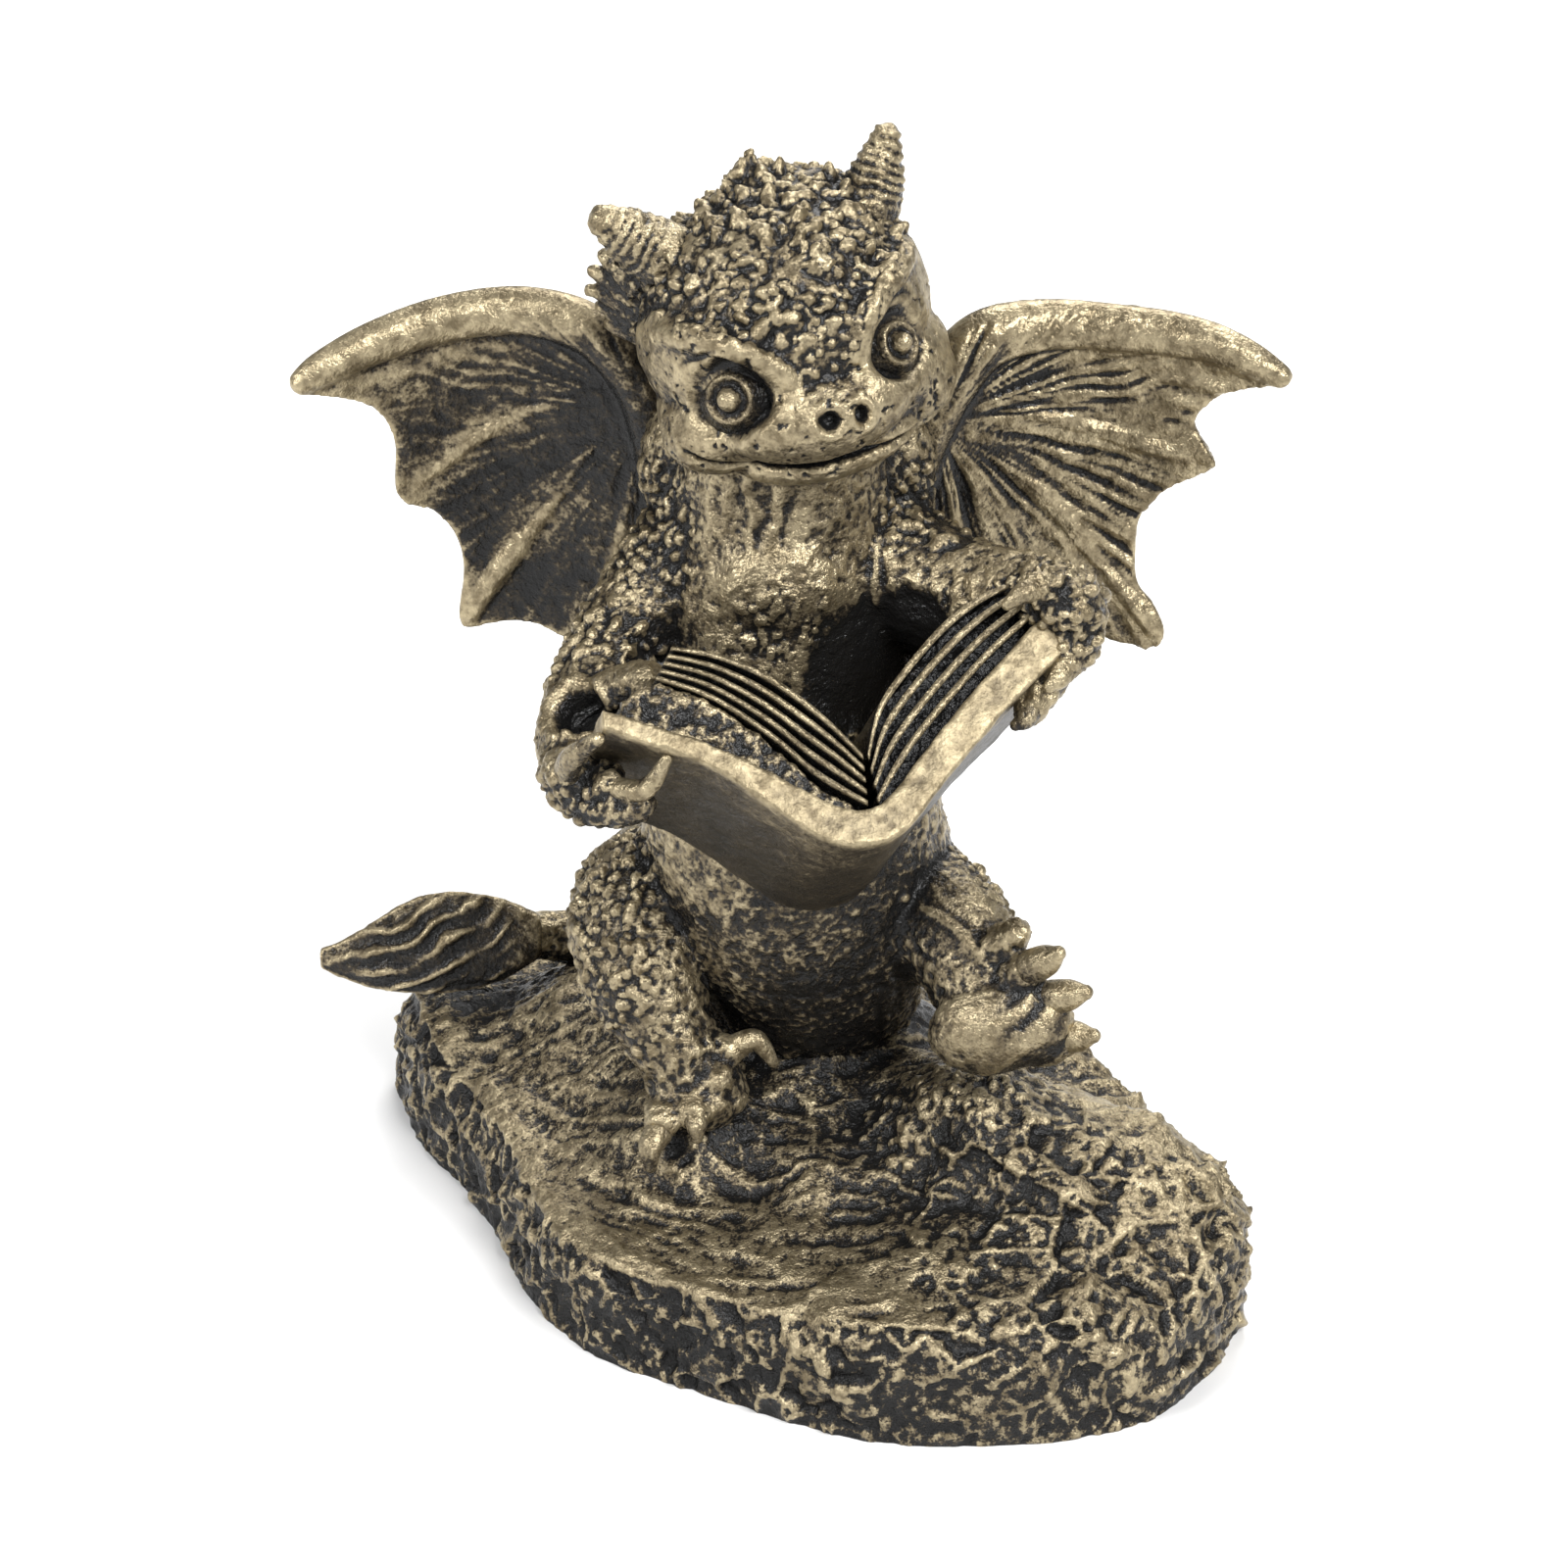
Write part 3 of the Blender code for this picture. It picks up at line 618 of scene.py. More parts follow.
# Where the hide is studded with pebbles: shoulders, arms, hands, thighs, nape and neck's side
PEBBLED = [((-14, 4, 84), 10), ((-21, -4, 71), 11), ((-19, -18, 69), 8), ((14, 3, 86), 8),
           ((27, -12, 84), 9), ((-21, 0, 43), 9), ((-20, -7, 37), 7), ((-17, -8, 31), 6),
           ((-21, -22, 68), 7), ((23, 0, 41), 9), ((0, 20, 88), 12), ((-8, 2, 97), 6),
           ((0, 22, 60), 14), ((-1.5, -8, 80), 7), ((-10, 27, 26), 8)]
KNEE_SEAM = [(11.7, -7.5, 45.6), (16.4, -10, 44), (19.6, -13.5, 42.1)]
PALM = (-22.6, -15.4, 72.8)         # the dark hollow inside the right hand


def skin_relief(points, _):
    """Hide: flowing creases down the neck and breast, sponge-like mottling on the belly and
    pebbles elsewhere; and how gold each part is."""
    x, y, z = points.T
    neck = rise(z, 66, 80) * rise(-y, -8, 0) * rise(-np.abs(x), -14, -9)
    wander = 2.4 * lumps(points / 8, 71) + 0.8 * lumps(points / 2.5, 73)
    creases = folds((x + wander) / 2.6, z / 9, 72)
    pebbles = np.max([nearness(points, *spot) for spot in PEBBLED], axis=0)
    studs = np.maximum(beads(warped(points, 2, 0.5, 74), 1.7, 0.7, 75),
                       0.7 * beads(warped(points, 2, 0.5, 84), 1.15, 0.8, 76))
    sponge = (0.18 * crumpled(warped(points, 2, 0.8, 79), 1.4, 77, 2)
              + 0.3 * lumps(points / 0.9, 76, 2) + 0.25 * lumps(points / 3.5, 78, 2))
    knee = nearness(points, (17, -8, 45.5), 7)
    breast = nearness(points, (-1.5, -8, 80), 10)
    height = ((1 - pebbles) * (1 - 0.4 * neck) * (1 - 0.6 * knee) * sponge
              + 0.4 * neck * (1 - pebbles) * creases
              + pebbles * (1 - 0.45 * breast)
              * (0.85 * studs + 0.2 * lumps(points / 1.2, 80, 2) - 0.3))
    # Behind the book: a shallow hollow under the arm, which also carries painted shade in the gold
    # below.
    behind_book = np.maximum(nearness(points, (8, -7, 73), 8.5),
                             nearness(points, (12, -6, 77), 5.5))
    height = height * (1 - 0.7 * behind_book) - 0.8 * behind_book
    hollow = np.linalg.norm(points - PALM, axis=1)
    height -= 2.6 * (1 - rise(hollow, 1.2, 3.4)) - 0.4 * hump(hollow, 3.7, 0.7)
    sole = nearness(points, (22, -19, 34.5), 9.5)
    streaks = folds((z - 0.6 * x + lumps(points / 3, 81)) / 1.6, x / 6, 82)
    seam = along_lines(points, [KNEE_SEAM], 0.5)
    belly = nearness(points, (-1, -10, 48), 17)
    height = height * (1 - 0.7 * sole) * (1 - 0.4 * belly) + 0.12 * sole * streaks + 0.6 * seam
    flank = nearness(points, (-10, -8, 51), 8)
    thigh = nearness(points, (-9.5, -8.5, 37.5), 6)
    fist = nearness(points, (-18.5, -26, 69), 7)
    lap = nearness(points, (4, -6, 31), 11)
    # Painted shade: less gold on the belly under the book, in the lap's shadow, in the hollow
    # behind the book under the arm, and round the right hand's claws beside the book.
    gold = (0.5 * neck + 0.6 * breast - 1.6 * fist - 0.8 * belly + 1.2 * flank - 0.25 * pebbles
            - 2.4 * (1 - rise(hollow, 2.2, 3.4)) + sole * (0.9 * streaks - 0.7) + 1.2 * seam
            + 0.5 * thigh - 0.6 * knee - 2.2 * behind_book - 0.9 * lap)
    return height, gold


def parted(piece, name, height):
    """Takes what lies under that height off a piece, and gives it back as one of its own."""
    lower = in_scene(name, piece.data.copy())
    lower.data.name = name
    for half, wanted in ((piece, 1), (lower, -1)):
        clay = bmesh.new()
        clay.from_mesh(half.data)
        spare = [f for f in clay.faces if (f.calc_center_median().z - height) * wanted < 0]
        bmesh.ops.delete(clay, geom=spare, context="FACES")
        clay.to_mesh(half.data)
        clay.free()
    return lower


WAIST = 58                          # the body is handled in two halves, met under the book
body = fused(body_clay(), "dragon_body", BODY_GRAIN, rounding=12)
carved(body, skin_relief)
legs = parted(body, "dragon_legs", WAIST)
hide = brushed_resin("gilded_hide", gold=0.1, speck=0.4, softness=1.5)
finished(body, hide)
finished(legs, hide)


# ---- Claws -----------------------------------------------------------------------
# Eleven smooth nails, well rubbed with gold, pressed into the clay of the feet and hands.

# Root, knuckle, tip and root radius of each
CLAWS = [
    # right foot, planted on the stone
    ((-6.4, -9.3, 27.8), (-4.2, -9.7, 28.8), (-2.4, -10, 26.2), 1.4),
    ((-10.9, -14.6, 22.6), (-10.7, -16.2, 22.2), (-10.6, -17, 21), 1.5),
    ((-14.8, -16, 21), (-15.6, -17.6, 20.2), (-15.6, -18.4, 18.2), 1.6),
    # left foot, sole turned out
    ((25.2, -15.6, 42), (26.7, -16.6, 43.5), (27.7, -17.2, 44.6), 1.95),
    ((27.4, -15.6, 38.1), (29.3, -16.6, 39.1), (30.7, -17.3, 39.8), 1.95),
    ((28.6, -15.9, 33.4), (30.4, -16.8, 33.9), (31.7, -17.4, 34.4), 1.9),
    # right hand, curled up under the book
    ((-23.3, -23.8, 70), (-22.5, -26.4, 73.6), (-19.8, -28.2, 76.8), 1.5),
    ((-19, -25.8, 69.8), (-15.2, -28.6, 71.2), (-12.9, -29, 75), 1.3),
    # left hand, clasped round the cover
    ((27.4, -15.8, 79.2), (26.8, -17.8, 78.2), (25.8, -18.8, 77.6), 1.5),
    ((24.4, -17.6, 75.4), (23.4, -19.6, 74.4), (22.4, -20.4, 74), 1.4),
    ((25, -14.6, 86.8), (23.2, -16.4, 87.2), (21.4, -17.2, 86.2), 1.4),
]


def nails():
    clay = bmesh.new()
    for root, knuckle, tip, radius in CLAWS:
        sweep(clay, [(*root, radius), (*knuckle, radius * 0.85), (*tip, radius * 0.45)],
              sides=20, steps=8)
    return piece_from(facing_out(clay), "claws")


claws = nails()
gild(claws, bias=-0.3)
finished(claws, brushed_resin("gilded_claw", gold=-0.1, speck=0.4, patch=1, patch_size=2.5,
                              softness=1.6))


# ---- Head ------------------------------------------------------------------------
# A big round head turned to its left and tilted: smooth gold cheeks and muzzle, ringed eyes
# under thin brow bands, a long closed mouth, and a crown of rough lumps between two horns.

HEAD_GRAIN = 0.30
EYE = (9.2, -11.7, 1.2)             # the left one, in the head's own frame
EYE_AXIS = (0.5, -0.75, 0.43)       # the way that it looks
EYE_SIZES = {1: 0.9, -1: 1}         # left, right
EYE_RUBBED = {1: 0.45, -1: 0.2}     # how much more gold the brush left on each
# From the right corner of the lips to the left: x and height
LIPS = ([-15, -12.6, -9.8, -6, -2.4, 2.3, 6.9, 10.2, 13],
        [-4.6, -6.2, -7.1, -7.4, -7.7, -7.9, -9, -9.9, -10.3])
# The crown's lower edge over the brows and down between them: x and height
HAIRLINE = ([-13, -10.9, -8, -4.7, -2.4, 1.2, 5, 6.8, 9.4, 12.3],
            [8.5, 8.6, 8.2, 6.5, 3.4, 0.8, 3.7, 7.4, 8.6, 8.2])


def moved(frame, stations):
    """Stations (x, y, z, radius) taken from a local frame to the casting's."""
    return [(*(frame @ Vector(s[:3])), s[3]) for s in stations]


def mirrored(stations):
    """Stations on the other side of the local X = 0 plane."""
    return [(-s[0], *s[1:]) for s in stations]


def turned(place, **turns):
    """A frame at that place, turned by degrees about its own axes, one after another."""
    turn = Matrix()
    for axis, degrees in turns.items():
        turn = turn @ Matrix.Rotation(math.radians(degrees), 4, axis)
    return Matrix.Translation(place) @ turn


HEAD = turned((-1, 4, 107), Z=15, Y=-13, X=3)
# Middle and radii of each ball of clay that it is built up from
SKULL = [((0, 0, 2), (15.6, 14.5, 13.6)), ((0, -3.5, -4), (15.8, 11, 7.2)),
         ((0, -10, -3), (10.5, 8, 5.6)), ((0.5, -6, -8.6), (10.8, 9, 4.2)),
         ((9.4, -5, -6.4), (6.2, 6.2, 5.6)), ((-9.6, -5, -5.2), (6.4, 6.4, 4.8)),
         ((2, 3, 9.4), (10.5, 9, 6.4))]


def head_clay():
    clay = bmesh.new()
    for middle, radii in SKULL:
        ball(clay, middle, radii, frame=HEAD)
    sweep(clay, moved(HEAD, [(1.2, 5, 13, 4), (1.3, 5.6, 15.2, 2.6), (1.4, 6, 16.8, 1.1)]))
    brow = [(2.8, -13.4, 1.8, 1.1), (4.6, -12.6, 4.8, 1.5), (7.6, -11.4, 7.1, 1.6),
            (11.1, -8.1, 7.6, 1.6), (13.4, -4, 6.6, 1.2)]
    for side in (list, mirrored):
        sweep(clay, moved(HEAD, side(brow)), sides=12)
    return clay


def eye_at(side):
    """The middle of that side's eye and the way that it looks, in the head's own frame."""
    axis = Vector(EYE_AXIS).normalized()
    return (EYE[0] * side, *EYE[1:]), (axis.x * side, axis.y, axis.z)


def face_relief(points, normals):
    """Eye sockets, lips, nostrils and the rough crown; and how gold each part is."""
    turn = np.array(HEAD.to_3x3())
    local = (points - np.array(HEAD.translation)) @ turn
    facing = normals @ turn
    x, y, z = local.T
    height = 0.07 * lumps(points / 1.2, 81, 2)
    front = rise(-y, 1, 4)
    gold = 0.5 * front
    for side in (1, -1):
        middle, axis = map(np.array, eye_at(side))
        off = local - middle
        off = off - (off @ axis)[:, None] * axis
        r = np.linalg.norm(off, axis=1) / EYE_SIZES[side]
        to_nose = np.array((-0.95 * side, 0, -0.3))
        drawn_out = 1 + 0.34 * np.clip(off @ to_nose / (r + 0.01), 0, 1) ** 3
        r = r * (1 + 0.12 * lumps(points / 2.4, 91 + side))
        shaded = rise(off @ to_nose / (r + 0.01), -0.7, 0.3)
        socket = np.interp(r / drawn_out, [0, 3.3, 3.8, 4.3, 4.9, 5.8, 7.2],
                           [-1.2, -1.2, -0.6, 0, 0.35, 0.2, 0])
        socket = socket * (0.55 + 0.45 * shaded)
        lid = hump(r, 5.3, 0.4) * rise(off @ (-0.6 * side, 0, 0.8) / (r + 0.01), 0, 0.6)
        height = height + rise(facing @ axis, 0.1, 0.4) * (socket - 0.45 * lid * (1 - shaded))
        dark = 0.2 + 1.25 * shaded - 0.5 * EYE_RUBBED[side]
        gold = (gold - dark * (1 - rise(r / drawn_out, 3.3, 4.9))
                - 1.2 * lid * (1 - shaded))
    lips = front * hump(z, np.interp(x, *LIPS), 0.4) * rise(15 - np.abs(x), 0, 1)
    height = height - 1.3 * lips
    gold = gold - 1.5 * lips
    for place, wide in (((-0.6, -17.6, -1.5), 1.15), ((2.8, -17.3, -2.0), 0.85)):
        r = np.linalg.norm((local - place) / (wide, 2.0, 1.15), axis=1)
        height = height - 1.5 * (1 - rise(r, 0.5, 1.1)) + 0.3 * hump(r, 1.5, 0.35)
        gold = gold - 2.5 * (1 - rise(r, 0.6, 1.2))
    crown = rise(z - np.interp(x, *HAIRLINE) + 7 * rise(y, -4, 6), -0.8, 0.8)
    crown = crown * rise(z, -9, -3)
    fine = rise(-np.hypot(x - 1.5, z - 2), -6, -3.5) * front
    coarse = (0.9 * beads(warped(points, 2, 0.8, 84), 2.3, 0.7, 85)
              + 0.6 * beads(warped(points, 1, 0.4, 83), 1.4, 0.8, 86)
              + 0.6 * lumps(points / 1.4, 87, 2) - 0.6)
    small = 0.5 * beads(points, 1.2, 0.7, 88) + 0.2 * lumps(points / 0.8, 89) - 0.2
    height = height + crown * ((1 - fine) * coarse + fine * small)
    pores = rise(lumps(points / 0.8, 90, 2), 0.3, 0.55) * (1 - crown)
    bridge = nearness(local, (0.8, -16.5, 1.6), 4.5) * (1 - crown)
    height = height - 0.3 * pores + bridge * (0.35 * beads(points, 1, 0.7, 98) - 0.1)
    gold = gold - 1.2 * crown * (1 - 0.4 * fine) - 0.5 * pores - 0.6 * bridge
    return height, gold


head = fused(head_clay(), "dragon_head", HEAD_GRAIN, rounding=14)
carved(head, face_relief)
finished(head, brushed_resin("gilded_face", gold=0.1, speck=0.4, tooth=0.08, dullness=0.42))


# Radius and height of the eye from its middle out, and how gold it is there: a bright pupil
# and ring, with dark resin round them
EYE_PROFILE = [(0, 1.4, 1), (0.35, 1.35, 1), (0.7, 1.15, 0.9), (0.95, 0.85, 0.6), (1.15, 0.4, 0),
               (1.3, 0, -0.8), (1.55, -0.2, -1.5), (1.85, -0.1, -0.7), (2.1, 0.1, 0),
               (2.3, 0.2, 0.3), (2.5, 0.1, 0), (2.7, -0.2, -0.7), (2.95, -0.6, -1.1),
               (3.4, -1.1, -1.4), (4.0, -1.7, -1.6)]
EYE_SIDES = 48


def eyeballs():
    clay, gilt = bmesh.new(), []
    for side in (1, -1):
        middle, axis = eye_at(side)
        turn = Vector(axis).to_track_quat("Z", "Y").to_matrix().to_4x4()
        place = HEAD @ Matrix.Translation(middle) @ turn
        profile = [(0.02, 1.4, 1), *spline(EYE_PROFILE, 3)[1:], (4, -3, -2), (0.02, -3, -2)]
        size = EYE_SIZES[side]
        loft(clay, [[place @ Vector((size * r * math.cos(a), size * r * math.sin(a), h))
                     for a in around(EYE_SIDES)] for r, h, _ in profile])
        gilt += [amount + EYE_RUBBED[side] for _, _, amount in profile for _ in range(EYE_SIDES)]
        gilt += [1, -2]
    eyes = piece_from(facing_out(clay), "eyes")
    note_gilt(eyes, gilt)
    return eyes


eyes = eyeballs()
finished(eyes, brushed_resin("gilded_eye", gold=0, speck=0.35, patch=0.6, patch_size=1.8))


# The right one and the left one
HORNS = [[(-9.4, 3, 10.2, 4.0), (-11.6, 3.6, 12.6, 3.3), (-13.4, 4.2, 14.6, 2.6),
          (-14.8, 4.6, 16, 1.8)],
         [(10.4, 2, 8.4, 4.0), (12.6, 2.8, 11, 3.3), (14.2, 3.5, 13.4, 2.4),
          (15.4, 4, 15.4, 1.5)]]
HORN_RING = 1.05                    # from one ring to the next
RING_DEPTHS = (0.08, 0.14)
# Root and tip of each tooth of the frill, mirrored for the right side
FRILL = [[(12.6, 5.6, 8, 2.4), (15.4, 7.6, 10.6, 0.8)],
         [(13, 6.4, 6.4, 2.4), (16.8, 8.6, 8.8, 0.7)],
         [(13, 7, 4.6, 2.4), (17.4, 9, 6.4, 0.8)],
         [(13, 7, 2.8, 2.4), (17, 9.2, 4.2, 0.6)],
         [(13, 7, 1.2, 2.4), (16.4, 9, 1.8, 0.7)]]
FRILL_SHORTER = 2.4                 # the left side's teeth stand out less than the right's
TRIM_GRAIN = 0.3


def trim_clay():
    """The horns and the torn frill behind them."""
    clay = bmesh.new()
    for root, (tip_x, *tip) in FRILL:
        sweep(clay, moved(HEAD, mirrored([root, (tip_x, *tip)])), sides=10)
        sweep(clay, moved(HEAD, [root, (tip_x - FRILL_SHORTER, *tip)]), sides=10)
    for horn in HORNS:
        sweep(clay, moved(HEAD, horn), sides=20)
    return clay


def horn_relief(points, _):
    """The horns' rings; black is left between them."""
    height = 0.25 * lumps(points / 1.1, 93, 2)
    for horn, depth in zip(HORNS, RING_DEPTHS):
        base, tip = (Vector(s[:3]) for s in moved(HEAD, (horn[0], horn[-1])))
        along = (points - np.array(base)) @ np.array((tip - base).normalized())
        beside = nearness(points, base.lerp(tip, 0.62), 6.5)
        bent = along + 0.35 * lumps(points / 2, 94)
        height += depth * beside * rise(along, 1, 3.5) * np.cos(bent * 2 * math.pi / HORN_RING)
    return height, -0.5


horns = fused(trim_clay(), "horns", TRIM_GRAIN, rounding=3)
carved(horns, horn_relief)
finished(horns, brushed_resin("gilded_horn"))


# ---- Wings -----------------------------------------------------------------------
# Bat wings held out flat: a thick arm bone over the top, three ribs fanned out from the
# elbow, and a web hollowed between them whose edge is cut in scallops.

# In each wing's plane (outward, up) from its shoulder: the arm bone with its radii, then the
# web's edge from the tip of the bone down to the body, then the ribs from the elbow out
RIGHT_WING = dict(
    bone=[(-1, -8, 2.2), (0.3, -1, 2.2), (2.2, 5.2, 2.3), (6.8, 10.2, 2.3), (13.8, 11.8, 2.2),
          (22, 11, 2.1), (29.5, 9.3, 1.9), (35, 7.4, 1.6), (37.4, 6.2, 1.2)],
    edge=[(37.4, 5), (32.4, 3.3), (29.4, 1.2), (27.9, -2.6), (28.1, -7.9), (26.8, -10),
          (24.1, -11.2), (21.8, -14.5), (21.1, -18.7), (21.8, -24), (21, -25.8), (18, -25.2),
          (13.7, -25.2), (9.9, -26.8), (3, -27), (-3, -22)],
    ribs=[[(5, 3.6, 0.9), (15.6, -0.4, 1.2), (26, -8, 1.0)],
          [(4.6, 1, 0.9), (12.4, -12, 1.3), (17, -18, 1.9), (20.4, -23.8, 1.4)],
          [(2.5, -4, 1.0), (5, -17.7, 1.3), (7.6, -24.4, 1.2)]])
LEFT_WING = dict(
    bone=[(-2, -6, 2.2), (-0.5, 0, 2.4), (2, 6, 2.7), (5.6, 10.2, 2.7), (11.8, 11.3, 2.3),
          (19, 10.9, 2.1), (27, 10.6, 1.9), (33, 9.4, 1.6), (37, 7.8, 1.1)],
    edge=[(37.2, 6.9), (33, 5.8), (30.4, 4.2), (28.2, 1), (29.8, -2.2), (30.4, -4.2), (25.6, -7.4),
          (22.9, -11), (22.5, -15.5), (22.9, -19.3), (24.8, -21.8), (26, -25), (24.6, -26.8),
          (20.5, -26.4), (14, -24), (6, -22), (-3, -20)],
    ribs=[[(5.6, 3.8, 0.9), (16.6, -0.2, 1.3), (28, -3.4, 1.1)],
          [(4, 1.6, 0.9), (14, -10.4, 1.1), (24.4, -24, 1.3)],
          [(1, -1, 1.0), (1.8, -9, 1.1), (3.8, -15, 0.9)]])
WING_HUB = (3.0, 2.0)               # the web fans out from here
WING_CUP = 5.0                      # how far the web is hollowed back between root and tip
WING_SPAN = 38
WEB_THICKNESS = (2.0, 1.3)          # at its root and at its edge
WING_GRAIN = 0.34
WING_FORWARD = 4                    # degrees that the tips come forward
EDGE_ON = Vector((0, 1, 0))


def wing_place(shoulder, side):
    """Local X runs outward, Z up and Y to the back of the wing."""
    return turned(shoulder, Z=-WING_FORWARD * side) @ Matrix.Diagonal((side, 1, 1, 1))


def cupped(x, z):
    """A point of the wing, set back so that the wing's front is hollow."""
    return Vector((x, WING_CUP * math.sin(math.pi * min(max(x / WING_SPAN, 0), 1)), z))


def wing_clay(bone, edge, ribs):
    clay = bmesh.new()
    rim = [Vector(p[:2]) for p in spline(bone[3:], 4)] + [Vector(p) for p in spline(edge, 4)]
    rows = []
    for share in (0.02, 0.2, 0.4, 0.6, 0.8, 1.0):
        row = [cupped(*Vector(WING_HUB).lerp(p, share)) for p in rim]
        across = Vector((0, WEB_THICKNESS[0] * (1 - share) + WEB_THICKNESS[1] * share, 0)) / 2
        rows.append([p - across for p in row] + [p + across for p in reversed(row)])
    loft(clay, rows, ladder=True)
    sweep(clay, [(*cupped(x, z), r) for x, z, r in bone], width=1.2, upright=EDGE_ON)
    for rib in ribs:
        sweep(clay, [(*cupped(x, z), r) for x, z, r in rib], sides=14, width=0.8,
              upright=EDGE_ON)
    return facing_out(clay)


def wing_piece(name, place, crease, streaky, **shape):
    """A wing, with creases of that depth fanned out over its web. The brush was drawn out along
    its bones, and took the creases' crests by streaky."""
    def creased(points, normals):
        x, _, z = points.T
        angle = np.arctan2(z - 2, x - 1)
        reach = np.hypot(x - 1, z - 2)
        web = rise(np.abs(normals[:, 1]), 0.5, 0.9)
        streaks = folds(angle * 13 + 0.5 * lumps(points / 5, 95), reach / 9, 91)
        height = crease * (streaks + 0.5 * folds(angle * 24, reach / 6, 93))
        height = height * rise(reach, 3, 9) + 0.14 * lumps(points / 1.1, 92, 2)
        flat = points * (1, 0, 1)
        bone, *ribs = [[(q[0], 0, q[1]) for q in line]
                       for line in (shape["bone"][3:], *shape["ribs"])]
        stroked = along_lines(flat, [bone], 6.5) + along_lines(flat, ribs, 2.2)
        gold = (2.5 * stroked * rise(reach, 6, 20) - 0.4 * (1 - rise(reach, 5, 16))
                + streaky * web * streaks - 0.3)
        return height * web, gold

    wing = fused(wing_clay(**shape), name, WING_GRAIN, rounding=5)
    carved(wing, creased, place=place)
    return wing


right_wing = wing_piece("wing_right", wing_place((-14.5, 12, 92), side=-1), crease=0.1,
                        streaky=0.3, **RIGHT_WING)
finished(right_wing, brushed_resin("gilded_wing_right", gold=-0.5, speck=0.45, patch=0.7,
                                   patch_size=4, softness=1.9, tooth=0.08, dullness=0.4))
left_wing = wing_piece("wing_left", wing_place((14, 12, 91), side=1), crease=0.34,
                       streaky=1.3, **LEFT_WING)
finished(left_wing, brushed_resin("gilded_wing_left", gold=0.9, speck=0.4, softness=1.5,
                                  tooth=0.08))


# ---- Book ------------------------------------------------------------------------
# An open book cast with the hands: a thick curved cover rubbed with gold, and a few heavy
# leaves a side with deep dark grooves between them.

BOOK = turned((8.6, -34, 67.5), Z=12, X=-44)    # Y up its spine, Z out of the open pages
BOOK_HEIGHT = 29
# The book's end, seen along its spine: x across, z out of the spine
COVER_UNDER = [(-26.3, 15.3), (-21, 12.7), (-15.7, 10), (-10.2, 5.2), (-6.3, 1.9), (-2.7, 0.5),
               (0.6, 0.7), (3.4, 2.1), (7, 5.6), (14.6, 12.6), (22, 18.4), (25.4, 21.9)]
COVER_OVER = [(-26.1, 17.3), (-20.7, 15), (-15.4, 12.5), (-9.7, 8.9), (-6, 6.4), (-3, 4.6),
              (0, 4.4), (2.2, 5.8), (4.9, 8.6), (8.8, 12.4), (13.5, 16.7), (19.3, 21.6),
              (24, 24.3)]
# From the gutter out: the lowest leaf's underside and the top leaf's upper side
RIGHT_LEAVES = ([(-0.6, 4), (-2.7, 5.2), (-5.4, 7.3), (-9.2, 11.7), (-14.8, 16.7), (-20.4, 19.6)],
                [(-0.3, 10), (-3.2, 13.9), (-6.5, 17.4), (-9.9, 20.1), (-14, 22.1), (-18, 23.2)])
LEFT_LEAVES = ([(0.6, 4), (2.6, 6.2), (5.4, 9.4), (10, 13.8), (15.4, 18.6), (21.4, 23)],
               [(0.2, 10), (2.1, 14.9), (5.2, 18.5), (9.7, 22.6), (13.4, 24.9), (16.9, 26.2)])
# The thick block under the right-hand leaves: its lower and upper edge from the gutter out
PAGE_BLOCK = ([(-1, 3.6), (-3, 4.2), (-6, 6), (-9.7, 8.5), (-15.4, 12.1), (-20.7, 14.6),
               (-25, 16.4)],
              [(-1, 4.2), (-2.7, 5.6), (-5.4, 7.7), (-9.2, 12.1), (-14.8, 17.1), (-19.6, 19.6),
               (-23, 18.8)])
LEAF_COUNTS = (5, 4)                # right, left
LEAF_SHARE = 0.42                   # of the room for each leaf; the rest is groove
# Behind the cover's near edge
LEAVES_START, LEAVES_END = 0.7, 28.4
BLOCK_START = 1.1
GROOVES_END = 2.8                   # and the pages behind them begin
PAGES_END = LEAVES_END - 0.3
LEAF_STATIONS = (0, 0.012, 0.03, 0.15, 0.35, 0.6, 0.85, 1)     # shares of a leaf's length
LEAF_GOLD = ([0, 0.3, 0.9, 2.5, 5], [0.6, 0.5, -1.4, -1.4, 0])  # by how far in from its edge
BOARD_GRAIN = 0.4


def prism(clay, outline, stations):
    """The outline (x, z) drawn out along the book's spine through those stations."""
    loft(clay, [[Vector((x, y, z)) for x, z in outline] for y in stations], ladder=True)


def layer(lowest, highest, start, end):
    """The outline of what lies between two shares of the way from one line to the other."""
    under, over = ([Vector(p).lerp(Vector(q), share) for p, q in zip(lowest, highest)]
                   for share in (start, end))
    return under + over[::-1]


def cover_clay():
    clay = bmesh.new()
    under, over = spline(COVER_UNDER, 6), spline(COVER_OVER, 6)
    size = min(len(under), len(over))
    outline = under[:size] + over[:size][::-1]
    prism(clay, outline, (0, BOOK_HEIGHT))
    return facing_out(clay)


def cover_relief(points, normals):
    """A slightly uneven board, bright gold on its edge and brown beneath."""
    y = points[:, 1]
    inside = rise(normals[:, 2], 0.3, 0.7) * rise(y, 0.3, 1)
    under = rise(-normals[:, 2], 0.3, 0.7) * rise(y, 0.3, 1.5)
    height = 0.12 * lumps(points / 1.6, 101, 2) + 0.1 * lumps(points / 4, 104)
    edge = (1 - inside) * (1 - under)
    return height, 0.1 * edge - 0.8 * inside - (0.03 * y - 0.1) * under, 0.3 + 0.5 * edge


